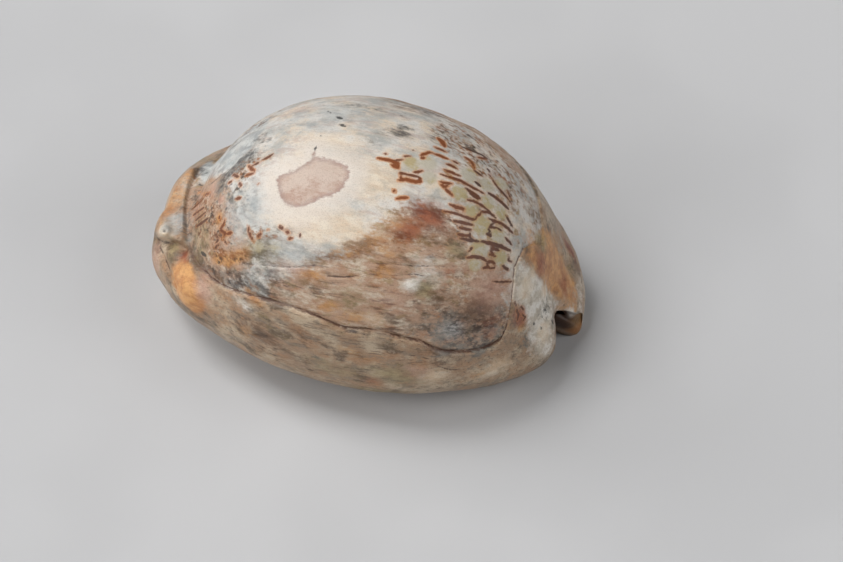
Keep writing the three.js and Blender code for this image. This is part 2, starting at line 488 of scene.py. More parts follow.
PATCHES: tuple[Patch, ...] = (
    Patch("weathered lower back", Tone.TAN,
          ((262, 284), (300, 266), (345, 248), (380, 222), (412, 204), (446, 206), (468, 240), (508, 262),
           (511, 300), (518, 346), (470, 364), (420, 354), (345, 340), (266, 314)), 3.5, 0.85),
    Patch("rear near lobe", Tone.ORANGE,
          ((173, 266), (181, 258), (191, 261), (197, 273), (203, 290), (208, 303), (200, 312), (189, 306),
           (177, 292), (171, 278)), 1.2, 1.0),
    Patch("rear far lobe", Tone.ORANGE,
          ((158, 234), (160, 214), (168, 195), (178, 183), (194, 173), (196, 178), (189, 190), (186, 202),
           (178, 213), (169, 222), (163, 230)), 1.2, 0.48),
    Patch("rear far flap", Tone.BLUE_GREY,
          ((198, 171), (210, 162), (226, 150), (246, 133), (266, 118), (272, 118), (262, 133), (250, 149),
           (236, 162), (222, 172), (212, 180), (202, 182)), 0.8, 0.95),
    Patch("front orange", Tone.ORANGE,
          ((527, 246), (534, 236), (545, 234), (556, 244), (566, 260), (575, 280), (574, 294), (566, 301),
           (556, 296), (546, 284), (536, 272), (528, 260)), 2.3, 1.0),
    Patch("front chalk", Tone.WHITE,
          ((513, 270), (518, 260), (527, 266), (538, 277), (550, 289), (560, 300), (570, 303), (578, 300),
           (582, 314), (576, 318), (566, 309), (557, 314), (555, 338), (548, 352), (534, 350), (527, 340),
           (527, 322), (521, 309), (513, 298)), 1.8, 0.9),
    Patch("ochre blotch", Tone.OCHRE,
          ((209, 256), (218, 251), (230, 251), (240, 247), (249, 246), (253, 253), (248, 261), (238, 263),
           (231, 270), (222, 265), (212, 264)), 0.8, 0.85),
    Patch("rear far stain", Tone.SLATE,
          ((214, 186), (219, 177), (231, 168), (246, 153), (258, 146), (254, 158), (244, 170), (229, 178),
           (224, 190), (215, 200)), 0.9, 0.85),
    Patch("rear near stain", Tone.SLATE,
          ((189, 234), (194, 244), (203, 256), (210, 268), (226, 270), (243, 268), (255, 274), (266, 290),
           (270, 300), (256, 296), (240, 290), (222, 284), (206, 274), (195, 260)), 0.9, 0.75),
    # A dark stain on the back. Where its outline runs past the lap onto the callus, it is painted shade under
    # the lap's ledge.
    Patch("front dark bay with painted shade under the lap", Tone.SLATE,
          ((424, 318), (444, 308), (470, 306), (488, 300), (503, 296), (508, 318), (502, 341), (484, 351),
           (464, 357), (446, 354), (428, 345)), 1.6, 0.62),
    Patch("rear flecks, top", Tone.FLECK,
          ((226, 176), (240, 160), (262, 152), (276, 150), (268, 166), (254, 178), (240, 192), (230, 190)),
          1.0, 0.24),
    Patch("rear flecks, column", Tone.FLECK,
          ((192, 200), (204, 190), (214, 200), (226, 208), (234, 226), (232, 246), (250, 250), (244, 266),
           (220, 268), (208, 256), (198, 240), (192, 222)), 1.2, 0.27),
    Patch("rear flecks, row", Tone.FLECK,
          ((244, 226), (256, 222), (284, 224), (306, 228), (304, 242), (284, 240), (262, 242), (248, 240)),
          0.8, 0.2),
    Patch("rear flecks, low", Tone.FLECK,
          ((196, 250), (212, 262), (236, 270), (256, 280), (268, 298), (246, 292), (220, 282), (202, 268)),
          0.8, 0.16),
    Patch("front flecks", Tone.FLECK,
          ((462, 150), (490, 152), (512, 186), (520, 226), (514, 262), (486, 268), (496, 220), (484, 180)),
          1.5, 0.12),
    Patch("rear lap's shade", Tone.SLATE,
          ((187, 198), (193, 186), (203, 186), (200, 204), (198, 222), (201, 244), (194, 250), (188, 234)),
          1.2, 0.5),
    Patch("rear lap's brown", Tone.UMBER,
          ((187, 206), (194, 190), (206, 186), (208, 200), (200, 216), (199, 236), (190, 238)), 1.6, 0.42),
    Patch("front slope", Tone.TAN,
          ((436, 112), (470, 124), (508, 156), (534, 196), (549, 232), (530, 242), (514, 262), (470, 262),
           (455, 235), (442, 205), (432, 160)), 3.0, 0.4),
    Patch("rear slope", Tone.TAN,
          ((178, 196), (192, 178), (206, 180), (228, 186), (236, 210), (252, 236), (254, 262), (240, 280),
           (214, 286), (190, 264), (178, 228)), 2.6, 0.9),
)

FAR_PATCHES: tuple[Patch, ...] = (
    Patch("weathered far side", Tone.TAN,
          ((-25, 34), (-8, 42), (10, 38), (24, 26), (25, 46), (10, 62), (-12, 66), (-26, 56)),
          4.0, 0.75),
    Patch("far front flecks", Tone.FLECK,
          ((8, 14), (19, 8), (25, 12), (24, 34), (16, 42), (9, 36)), 2.5, 0.26),
    Patch("far rear flecks", Tone.FLECK,
          ((-26, 20), (-19, 18), (-15, 34), (-18, 50), (-26, 46)), 2.5, 0.26),
    Patch("far bruise", Tone.UMBER,
          ((0, 34), (7, 30), (11, 40), (4, 48), (-3, 44)), 2.5, 0.6),
    Patch("far slate", Tone.SLATE,
          ((-22, 52), (-12, 56), (-8, 62), (-16, 64), (-24, 60)), 1.5, 0.6),
)

STAINS: Mapping[Tone, tuple[Stain, ...]] = {
    Tone.RUST: stains(
        ("bruise", (428, 215), (3.6, 2.2), 0.86, -8),
        ("bruise's tail", (410, 230), (3.6, 1.8), 0.75, 38),
        ("red of the bay", (494, 325), (1.6, 2.6), 0.5),
        ("brown above the bay", (455, 272), (4.5, 1.0), 0.5, 4),
        ("red of the front orange", (547, 269), (2.4, 3.2), 0.42, 20),
        ("red in the front orange", (541, 263), (1.2, 2.6), 0.9, 20),
        ("red side of the front orange", (562, 276), (0.9, 2.6), 0.7, 20),
        ("brown spot by the front lap", (520, 317), (1.0, 1.9), 0.95, 10),
        ("far margin's streak", (569, 248), (2.2, 0.9), 0.9, 40),
        ("rear lobe's red top", (184, 258), (1.6, 1.0), 0.8),
        ("rust callus, middle", (374, 378), (1.8, 1.0), 0.55, -10),
    ),
    Tone.UMBER: stains(
        ("bruise's shade", (430, 228), (6.0, 3.4), 0.55),
        ("brown cloud", (342, 254), (5.5, 1.5), 0.65, 18),
        ("brown cloud, left", (310, 284), (4.0, 1.4), 0.5),
        ("brown of the bay", (478, 312), (5.0, 3.0), 0.8),
        ("brown cloud, rear side", (214, 270), (3.8, 2.2), 0.6, -10),
        ("brown cloud by the rear lap", (280, 290), (3.6, 1.6), 0.5, -10),
        ("brown rear, low", (190, 250), (1.6, 1.4), 0.7),
        ("brown rear, middle", (218, 246), (2.6, 1.6), 0.5),
        ("brown far margin", (536, 214), (2.4, 3.4), 0.5),
        ("brown top edge", (440, 124), (6.0, 1.0), 0.15),
        # Painted shade: the dark of the front canal's hollow, painted on its wall.
        ("painted shade in the front canal", (557, 326), (0.8, 2.0), 0.9),
        ("brown side of the front orange", (531, 252), (1.6, 1.8), 0.5),
        # Painted shade: darkens the rear canal's fold.
        ("painted shade in the rear canal's fold", (172, 248), (2.0, 1.2), 0.85),
        ("far margin's dark end", (576, 262), (1.6, 0.9), 0.9, 50),
        ("brown callus, rear", (262, 334), (3.2, 2.2), 0.8, -25),
        # Painted shade: these two darken the callus just under the lap's ledge.
        ("painted shade under the lap, front", (448, 358), (5.0, 1.3), 0.6, 6),
        ("painted shade under the lap, middle", (432, 350), (3.0, 1.4), 0.6),
        ("brown callus, low", (290, 352), (5.0, 1.8), 0.55, -24),
        ("brown callus, upper", (300, 330), (4.0, 1.4), 0.5, -18),
        # Painted shade: darkens the crevice between the near lobe and the back.
        ("brown painted shade in the rear crevice", (198, 262), (2.4, 1.8), 0.85, -40),
        ("brown above the rear stain", (228, 268), (4.0, 1.4), 0.65, -10),
        ("brown left of the bay", (434, 300), (4.0, 2.6), 0.62),
        ("brown left of the bay, low", (412, 324), (4.0, 1.8), 0.55, 10),
        ("brown field, middle", (404, 262), (3.0, 1.4), 0.45),
        ("brown lobe top", (172, 262), (1.6, 2.2), 0.55),
        ("brown far lobe", (190, 177), (2.0, 1.4), 0.55),
        ("brown rear slope", (208, 226), (2.6, 4.4), 0.5),
        ("brown seam of the rear flap", (240, 142), (4.0, 0.35), 1.0, 48),
    ),
    Tone.OCHRE: stains(
        ("bruise's glow", (392, 238), (5.5, 2.8), 0.6, 34),
        ("glow's end", (366, 250), (5.0, 2.0), 0.45, 20),
        ("ochre cloud", (311, 276), (2.4, 1.2), 0.7),
        ("ochre cloud, middle", (386, 271), (1.8, 1.6), 0.7, 20),
        ("ochre cloud, low", (330, 306), (2.4, 1.0), 0.7, 10),
        ("ochre by the lap", (352, 316), (3.2, 1.2), 0.6, 15),
        ("yellow foot of the front orange", (568, 290), (1.4, 1.4), 0.6),
        ("orange spot, rear", (204, 195), (1.4, 0.8), 0.7),
        ("orange spot, rear column", (219, 219), (1.0, 1.4), 0.9),
        ("orange spot, rear middle", (226, 234), (1.2, 1.2), 0.6),
        ("yellow spot, rear top", (240, 175), (1.9, 0.8), 0.6, 20),
        ("orange line below the worn patch", (314, 213), (3.0, 0.5), 0.35, 12),
        ("ochre dot by the front lap", (522, 326), (0.8, 0.9), 0.9),
        ("orange by the rear stain", (254, 297), (1.9, 0.7), 0.9, -24),
        ("tan callus, rear", (246, 330), (1.8, 2.0), 0.5, -25),
        ("ochre callus, middle", (352, 352), (3.0, 1.1), 0.5, -20),
        ("orange callus, front", (474, 374), (3.0, 0.8), 0.45, 12),
    ),
    Tone.WHITE: stains(
        ("pale fleck", (413, 285), (1.7, 1.1), 1.0),
        ("pale fleck's neighbour", (428, 277), (2.8, 1.6), 0.6),
        ("pale field", (424, 262), (3.2, 1.8), 0.5),
        ("white knob of the far lobe", (570, 303), (1.3, 1.0), 1.0),
        ("pale callus, rear", (242, 301), (2.6, 1.2), 0.6, -20),
    ),
    Tone.OLIVE: stains(
        ("olive shade by the fleck", (425, 290), (1.4, 1.5), 0.9, -30),
        ("olive shade by the dashes", (455, 250), (2.4, 1.4), 0.8),
        ("olive cloud", (350, 300), (3.4, 2.2), 0.5),
        ("olive cloud, rear", (203, 240), (2.4, 4.0), 0.65),
        ("olive cloud, rear side", (262, 247), (4.6, 2.6), 0.75, 16),
        ("brown head of the front orange", (541, 243), (2.2, 2.0), 0.9),
        ("olive callus, middle", (398, 374), (4.5, 1.8), 0.8, -8),
        ("olive callus, low", (330, 366), (5.0, 2.0), 0.6, -14),
        ("olive callus, front low", (384, 388), (6.0, 1.6), 0.7, -6),
        ("olive beside the rear lap", (198, 230), (1.6, 3.6), 0.6),
        ("olive rear canal", (172, 252), (1.4, 1.6), 0.8),
    ),
    Tone.CREAM: stains(
        ("pale cloud by the lap", (375, 320), (3.0, 1.4), 0.6),
        ("peach in the front orange", (551, 278), (1.5, 1.8), 0.65),
        ("peach beside the front orange", (533, 274), (1.4, 1.4), 0.8),
        ("peach below the front orange", (545, 290), (1.5, 1.3), 0.9),
        ("cream upper front chalk", (526, 288), (1.6, 2.2), 0.8),
        ("cream lower front chalk", (543, 332), (1.8, 2.0), 0.8),
        ("cream spire", (168, 232), (1.6, 1.6), 1.0),
        ("cream below the worn patch", (318, 222), (9.0, 3.2), 0.9, 6),
        ("cream in front of the worn patch", (374, 178), (5.0, 5.0), 0.7),
        ("cream above the worn patch", (335, 142), (6.0, 2.0), 0.7),
        ("cream callus, middle", (435, 374), (3.6, 1.4), 0.8),
        ("cream callus, front", (496, 366), (4.0, 1.8), 0.8, 16),
    ),
    Tone.BLUE_GREY: stains(
        ("pale cloud in the bay", (450, 330), (2.6, 2.0), 0.9),
        ("grey cloud, rear", (245, 212), (6.0, 6.0), 0.75),
        ("grey cloud, top", (300, 122), (8.0, 4.0), 0.5),
        ("grey cloud, side", (280, 250), (5.0, 3.4), 0.8),
        ("grey ground behind the spire", (180, 222), (1.6, 2.0), 0.8),
        ("grey top, rear", (340, 112), (7.0, 2.6), 0.7),
        ("grey far lobe", (184, 190), (1.2, 3.0), 0.55),
        ("grey spire", (174, 222), (1.8, 2.2), 0.8),
        ("rear flap", (211, 172), (3.0, 1.0), 0.7, 40),
    ),
    Tone.SLATE: stains(
        # Painted shade: these two darken the lap's edge below the bay.
        ("painted shade on the lap below the bay, rear", (441, 350), (2.6, 1.1), 0.85, -16),
        ("painted shade on the lap below the bay, front", (482, 347), (3.4, 1.0), 0.95, 16),
        ("dark head of the rear stain", (259, 286), (2.6, 1.2), 1.0, -32),
        ("dark cloud, rear low", (268, 270), (4.4, 2.0), 0.55, 8),
        ("dark cloud, rear side", (252, 256), (3.4, 1.8), 0.6, 20),
        ("black rear", (200, 252), (1.6, 1.1), 0.8, -30),
        ("black rear, upper", (190, 238), (0.8, 1.6), 0.7),
        ("grey top edge", (360, 106), (9.0, 1.2), 0.45),
        ("grey pits of the front chalk", (545, 309), (1.7, 1.7), 0.5),
        ("smudge, top", (397, 134), (2.2, 0.9), 0.75, 10),
        ("smudge, top front", (404, 128), (1.4, 0.7), 0.6),
        ("smudge, top rear", (375, 142), (2.0, 0.4), 0.5),
        ("grey front chalk", (552, 322), (0.9, 1.0), 0.6),
        ("grey gutter", (525, 341), (1.6, 1.2), 0.5, 20),
        ("grey callus, rear fold", (312, 352), (2.4, 0.7), 0.45, -30),
        # Painted shade: darkens the crevice between the near lobe and the back.
        ("dark painted shade in the rear crevice", (195, 254), (2.0, 1.4), 0.8, -40),
        ("grey behind the flap", (200, 172), (2.4, 1.8), 0.5),
        ("dark left of the bay", (432, 328), (3.0, 2.4), 0.6),
        ("grey rear slope", (230, 200), (4.6, 3.6), 0.36),
        ("grey beside the rear lap", (193, 214), (1.2, 5.0), 0.5),
        ("grey rear top", (262, 140), (6.0, 2.0), 0.4),
    ),
    Tone.PINK: stains(
        ("pink front", (492, 288), (4.6, 3.4), 0.8),
        ("pink middle", (398, 300), (4.5, 2.2), 0.5),
        ("pink cloud, rear low", (288, 268), (3.4, 1.6), 0.6, 8),
        ("pink rear", (198, 206), (2.2, 3.0), 0.7),
        ("pink top edge", (300, 110), (6.0, 1.6), 0.5),
        ("pink rear flange", (158, 258), (1.4, 2.6), 0.7),
        ("pink end of the near lobe", (206, 288), (1.5, 2.4), 0.9),
        ("pink spot, rear", (221, 200), (1.1, 0.8), 1.0),
        ("rear lobe's tan side", (205, 283), (1.6, 2.4), 0.7),
        ("pink callus, middle", (416, 370), (2.6, 1.4), 0.7),
        ("pink above the rear column", (212, 190), (2.6, 1.8), 0.7),
    ),
}

FRONT_BAND: tuple[Stroke, ...] = dashes(
    (0.42, 0.9, (438.5, 138.5), (442, 141), (444.5, 146.5)),
    (0.24, 0.7, (434.5, 147.2), (440, 149.4), (446.6, 152.6)),
    (0.3, 0.8, (434.5, 154), (441, 156.4), (447.8, 159.6)),
    (0.3, 0.85, (421, 155.4), (426, 153.6), (430.6, 152)),
    (0.26, 0.8, (421.4, 158.6), (424.4, 157.6)),
    (0.22, 0.4, (453, 161.6), (458, 164.2)),
    (0.26, 0.5, (446.6, 164.8), (451.5, 166.6), (456.8, 169.4)),
    (0.26, 0.55, (444, 170.4), (451, 173), (460, 177)),
    (0.26, 0.45, (440.2, 175), (448.5, 177.6), (460, 181.4), (467.6, 185.4), (476.5, 189.8), (484.2, 194.2)),
    (0.26, 0.8, (439.6, 182.6), (445, 184), (452, 184.4)),
    (0.3, 0.9, (440.5, 184), (444, 187.4), (448, 186.6)),
    (0.28, 0.75, (446, 190.4), (449, 193), (452.8, 196.6)),
    (0.3, 0.35, (465.8, 189.2), (471, 192.4), (476.5, 195.6), (480.4, 199.2)),
    (0.26, 0.3, (470, 194), (476, 198), (480, 199.4)),
    (0.24, 0.35, (467.6, 200.6), (475.3, 201.8), (482.9, 206.2), (489.3, 210.8)),
    (0.3, 0.65, (449.8, 204.4), (456, 207.4), (463.8, 208.8), (464.2, 211)),
    (0.24, 0.4, (443.4, 211.4), (454.8, 213.4), (463.8, 216.6), (474, 219.8), (477.8, 215.8), (482.9, 211.4)),
    (0.28, 0.4, (453.6, 221), (463.8, 223), (473.3, 225.4)),
    (0.26, 0.35, (458.7, 228), (471.4, 230)),
    (0.26, 0.4, (458, 234.4), (470.8, 236.4)),
    (0.26, 0.2, (460, 238.8), (471.4, 240.2), (479.1, 242)),
    (0.26, 0.15, (469.6, 232.4), (470.8, 241.4)),
    (0.32, 0.25, (488, 193), (494.4, 196.8), (502, 203), (508.4, 209.6)),
    (0.24, 0.25, (489.3, 175), (496.9, 186.5), (507, 198), (511, 204.4)),
    (0.24, 0.15, (486.7, 168), (490.6, 173.1)),
    (0.22, 0.0, (461.2, 146.4), (471.4, 150.2), (481.6, 154.6), (488, 159)),
    (0.24, 0.6, (477.8, 157.2), (486.7, 159.1)),
    (0.28, 0.7, (465, 157.2), (470, 160.6), (473.4, 165), (474, 169)),
    (0.24, 0.2, (474, 171.2), (481.6, 176.3)),
    (0.3, 0.1, (475.3, 182.7), (480.4, 186.5)),
    (0.26, 0.3, (481.6, 211.4), (489.3, 212), (495.7, 217.8)),
    (0.26, 0.3, (488, 218.4), (494.4, 221), (500.8, 223.5), (508.4, 228.6), (512.9, 233.7)),
    (0.22, 0.25, (494.4, 222.2), (489.6, 227), (496.9, 228), (502, 231.2)),
    (0.26, 0.1, (488, 228.6), (490, 232), (490.8, 236)),
    (0.32, 0.1, (486.6, 233.8), (491.2, 236.4)),
    (0.34, 0.25, (481.6, 241.4), (491.8, 244), (502, 247), (510.3, 251)),
    (0.26, 0.3, (491.2, 247.8), (499.5, 251)),
    (0.24, 0.3, (491.8, 244), (491, 251.6), (494.4, 255.4)),
    (0.28, 0.35, (467, 258), (474, 256.7), (481.6, 258), (486.7, 261.8)),
    (0.24, 0.35, (468.9, 251.6), (472.7, 247.1)),
    (0.24, 0.3, (489, 268.6), (487.2, 264), (490.4, 261), (494.4, 263.4), (494, 268), (489, 268.6)),
    (0.24, 0.3, (482.9, 268.8), (488, 267)),
    (0.24, 0.3, (489.3, 254.2), (495.7, 256.7)),
    (0.26, 0.15, (505.9, 216), (509, 221), (512.2, 227.3)),
    (0.2, 0.3, (507.1, 190.4), (511, 199.3)),
    (0.22, 0.3, (503.3, 224.8), (511, 232.4)),
    (0.24, 0.2, (505.2, 237.6), (511.6, 245.2)),
    (0.26, 0.25, (502, 265.6), (508.4, 270.2)),
    (0.22, 0.2, (508.4, 254.8), (508.4, 261.2), (512, 262)),
    (0.2, 0.15, (492.5, 281.6), (500.8, 282), (511.6, 281.6)),
)

FRONT_BRANCH: tuple[Stroke, ...] = dashes(
    (0.32, 0.95, (378, 158.2), (387.2, 159.6), (397.6, 163), (398.6, 168)),
    (0.32, 0.95, (391.8, 165), (398.2, 167.6)),
    (0.18, 0.5, (395.3, 160.2), (403.9, 159.6)),
    (0.22, 0.5, (384.4, 153), (387.2, 153.8)),
    (0.2, 0.5, (403.9, 156), (410.2, 156)),
    (0.26, 0.1, (412.8, 150.2), (413.6, 150.6)),
    (0.26, 0.45, (400, 172.6), (410.2, 175), (420, 177.2)),
    (0.26, 0.6, (414.2, 172.2), (422.3, 171)),
    (0.32, 0.85, (398.8, 180.6), (405.6, 179.2), (414.8, 181.8), (421, 181.4)),
    (0.26, 0.75, (420, 177.2), (420.5, 183)),
    (0.22, 0.8, (400, 173.2), (401, 180.6)),
    (0.26, 0.95, (393, 190), (395.3, 192.2)),
    (0.26, 1.0, (396.4, 199), (402, 198), (407.9, 198)),
)

REAR_MARKS: tuple[Stroke, ...] = dashes(
    (0.22, 0.3, (261.9, 160), (268.2, 157), (272.8, 153.6)),
    (0.28, 0.7, (248.1, 165), (251, 168.5), (254.5, 170.8)),
    (0.26, 0.4, (254.5, 164.6), (258.5, 162.6)),
    (0.22, 0.6, (245.3, 175.4), (254.5, 173)),
    (0.28, 0.4, (232.7, 174.2), (238.4, 176.6)),
    (0.24, 0.6, (228.1, 182.8), (232.1, 180.6)),
    (0.28, 0.5, (239, 182.4), (241.3, 186.2)),
    (0.3, 0.5, (236.1, 198.8), (240.7, 197.8)),
    (0.24, 0.4, (258, 184), (259, 184)),
    (0.24, 0.35, (191.9, 209.8), (198.2, 204), (204, 198.4)),
    (0.24, 0.3, (193, 215.6), (199.4, 211), (204, 207.4)),
    (0.22, 0.2, (194.8, 221.4), (201.7, 215.6), (206, 212)),
    (0.26, 0.15, (195.9, 227), (202.8, 222.4), (208.5, 217.8)),
    (0.26, 0.6, (199.4, 192.6), (205, 195.4), (209.7, 192.8)),
    (0.3, 0.6, (218.9, 216.6), (220, 220.2)),
    (0.26, 0.5, (225.2, 219), (223.5, 224.8), (220, 229.4), (224.6, 232.8), (223.5, 237.4)),
    (0.26, 0.6, (226.9, 234), (232.1, 232.8)),
    (0.24, 0.3, (214.3, 232.8), (218.9, 238.6), (215.4, 243)),
    (0.24, 0.35, (223.5, 239.6), (226.9, 244.2)),
    (0.24, 0.3, (218.9, 244.2), (214.3, 248.8)),
    (0.26, 0.5, (248.1, 226), (249.3, 232.8), (253.9, 241.8)),
    (0.32, 0.5, (257.9, 237.4), (260.8, 233.4)),
    (0.32, 0.4, (279.7, 226.4), (282.6, 228.6)),
    (0.26, 0.55, (285.5, 231), (288.9, 233.4)),
    (0.28, 0.7, (288.9, 239), (291.8, 238)),
    (0.26, 0.6, (268, 230), (269, 229.6)),
    (0.22, 0.2, (299.8, 233.4), (300.4, 237.2)),
    (0.2, 0.2, (515.5, 302), (516.5, 306)),
    (0.22, 0.3, (517, 309), (518.5, 315), (517.5, 320)),
    (0.2, 0.3, (521, 306), (524, 310)),
    (0.22, 0.35, (522, 314), (525.5, 317), (523, 321)),
)

DARK_SPECKS: tuple[Stroke, ...] = (
    Stroke(((337, 117), (342.5, 118.6)), 0.3),
    Stroke(((340, 124), (345, 126.6)), 0.3),
    Stroke(((326.5, 111), (331, 113.6)), 0.2),
    Stroke(((320.6, 135.8), (321.6, 136)), 0.24),
    Stroke(((331, 129), (332.4, 129.4)), 0.22),
    Stroke(((314.5, 150.4), (316, 146)), 0.2),
    Stroke(((193.5, 242), (194.2, 243)), 0.26),
    Stroke(((201, 252), (206, 256)), 0.3),
    Stroke(((550.4, 320), (551.4, 323)), 0.2),
    Stroke(((541.6, 317), (542.4, 318.4)), 0.16),
    Stroke(((466, 395), (467, 397)), 0.2),
    Stroke(((453, 399), (459, 402)), 0.24),
    Stroke(((167.2, 231.4), (168, 231.6)), 0.22),
    Stroke(((548.4, 306.6), (549.6, 308)), 0.19),
    Stroke(((543.4, 309.4), (545.4, 310.4)), 0.19),
    Stroke(((533, 322), (534, 325)), 0.2),
    Stroke(((540, 327), (541, 329)), 0.18),
)

CRACKS: tuple[Stroke, ...] = (
    Stroke(((246, 264), (262, 265), (284, 267), (306, 267), (322, 268)), 0.1),
    Stroke(((300, 266), (318, 265)), 0.09),
    Stroke(((366, 263), (386, 263.4), (412, 266), (432, 266), (456, 267)), 0.1),
    Stroke(((326, 276), (344, 277), (360, 276)), 0.16),
    Stroke(((330, 282), (346, 284)), 0.14),
    Stroke(((396, 276), (414, 274), (424, 276)), 0.12),
    Stroke(((398, 281), (412, 280)), 0.12),
    Stroke(((342, 331), (352, 330.4), (366, 334)), 0.2),
    Stroke(((410, 354), (420, 355), (430, 357)), 0.14),
    Stroke(((438, 364), (452, 368), (462, 368)), 0.14),
    Stroke(((199, 183), (206, 184.5), (213, 181), (222, 173), (230, 167)), 0.24),
    # The next two are not cracks. They are dark lines painted into the rear canal's fold and into the fold
    # between the near flange and the near lobe: painted shade.
    Stroke(((158, 241), (165, 243.5), (172, 245)), 0.24),
    Stroke(((161, 249), (165, 260), (169, 271)), 0.2),
    Stroke(((229, 151), (239, 143), (248, 135)), 0.34),
    Stroke(((248, 135), (258, 127), (268, 119)), 0.22),
)

RING_PATCHES_PX: tuple[tuple[float, float, float], ...] = (
    (481.6, 224, 1.6), (498.6, 236, 1.3), (479.6, 250, 1.4), (460, 194, 1.2), (488, 202, 1.1),
    (500.8, 212, 1.0), (471.4, 211, 1.0), (469, 176, 1.2), (486.7, 185.5, 1.1), (428.7, 163.6, 1.2),
    (428.7, 177.6, 1.0), (500.8, 258, 1.1), (475.3, 264, 1.0), (502, 184, 1.0), (412, 164, 1.2),
)

LUMPS: tuple[Lump, ...] = (
    Lump("spire knob", (167, 231), 1.7, 1.2),
    Lump("spire dimple", (167.5, 231.5), -0.9, 0.4),
    Lump("rear near lobe", (191, 286), 1.1, 3.4),
    Lump("crevice above the near lobe", (182, 256), -1.3, 1.5),
    Lump("front roof", (556, 304), 0.8, 1.5),
    Lump("front chalk pit", (550, 322), -0.6, 0.8),
    Lump("front chalk rise", (540, 298), 0.6, 2.0),
    Lump("front dent", (527, 332), -0.7, 1.1),
    Lump("far lobe's knob", (569, 302), 0.7, 1.3),
    Lump("front outer tip", (550, 346), 1.1, 1.8),
    Lump("far lobe's tip", (578, 308), 0.6, 1.6),
    Lump("front orange hollow", (556, 270), -0.5, 2.4),
    Lump("pale fleck", (413, 285), 0.15, 1.2),
    Lump("bay", (468, 330), -0.3, 4.0),
)

CREASES: tuple[Crease, ...] = (
    Crease("groove behind the far lobe", ((198, 172), (191, 187), (188, 202), (186.5, 216), (187, 230)),
           -0.5, 0.5),
    Crease("far lobe's crest", ((165, 222), (171, 203), (178, 189), (189, 178)), 0.9, 1.6),
    Crease("rear canal's fold", ((157, 241), (164, 243), (172, 245), (179, 246), (185, 251)), -1.6, 0.8),
    Crease("spire's ridge", ((167, 232), (174, 236), (181, 239)), 0.8, 0.8),
    Crease("near flange's fold", ((160, 246), (165, 260), (170, 273), (176, 288)), -0.9, 0.7),
    Crease("rear flap's edge", ((200, 183), (206, 184), (213, 180), (222, 172), (236, 161)), -0.45, 0.5),
    Crease("rear flap", ((203, 176), (214, 168), (228, 156), (246, 140)), 0.4, 1.4),
    Crease("far margin's gutter", ((553, 236), (560, 248), (567, 262), (573, 276)), -0.9, 0.7),
    Crease("front trough", ((520, 316), (528, 330), (538, 343)), -0.4, 0.9),
    Crease("front near fold", ((505, 347), (524, 348), (540, 352)), 0.3, 1.2),
    Crease("front chalk's edge", ((515, 266), (514, 280), (514, 298)), 0.3, 0.7),
)


@dataclass
class Surface:
    """The skin's outer grid before wear: stations by angles, its points and how the photograph sees them."""

    station: Array
    angle: Array
    points: Array
    view: PhotoView
    chart_radius: float = 22.0
    most_steps: float = 0.7
    pixels_at_once: int = 64
    least_slope: float = 1e-6
    pixels: Array = field(init=False)
    facing: Array = field(init=False)

    def __post_init__(self) -> None:
        """Works out each point's pixel and whether it faces the camera."""
        self.pixels = self.view.project(self.points)
        across = np.gradient(self.points, axis=1)
        along = np.gradient(self.points, axis=0)
        outward = np.cross(along, across)
        self.facing = np.einsum("ijk,ijk->ij", outward, self.view.eye() - self.points) > 0

    def chart(self) -> Array:
        """Lays the skin out flat: the place along it, and the angle times a middling radius."""
        return np.stack([self.points[..., 0], self.angle * self.chart_radius], axis=-1)

    def locate(self, pixels: Sequence[Pixel]) -> tuple[Array, Array]:
        """Finds the places on the skin that are seen at some pixels.

        Each pixel's nearest grid point that faces the camera is found, and the rest of the way is taken
        along the grid's own slopes.

        Args:
            pixels: Places in the photograph.

        Returns:
            The points in space, and the same points on the flat chart.
        """
        wanted = np.asarray(pixels, float).reshape(-1, 2)
        rows, columns = np.nonzero(self.facing)
        seen = self.pixels[rows, columns]
        nearest = np.concatenate([
            np.argmin(((part[:, None, :] - seen[None]) ** 2).sum(-1), axis=1)
            for part in np.array_split(wanted, max(1, len(wanted) // self.pixels_at_once))])
        row, column = rows[nearest], columns[nearest]
        slope_row, slope_column = np.gradient(self.pixels, axis=0), np.gradient(self.pixels, axis=1)
        slopes = np.stack([slope_row[row, column], slope_column[row, column]], axis=-1)
        slopes = slopes + self.least_slope * np.eye(2)
        steps = np.linalg.solve(slopes, (wanted - self.pixels[row, column])[..., None])[..., 0]
        steps = np.clip(steps, -self.most_steps, self.most_steps)

        def carried(values: Array) -> Array:
            """Carries a grid of values from the nearest grid points to the pixels."""
            moved = values[row, column].copy()
            moved += steps[:, :1] * np.gradient(values, axis=0)[row, column]
            moved += steps[:, 1:] * np.gradient(values, axis=1)[row, column]
            return moved

        return carried(self.points), carried(self.chart())


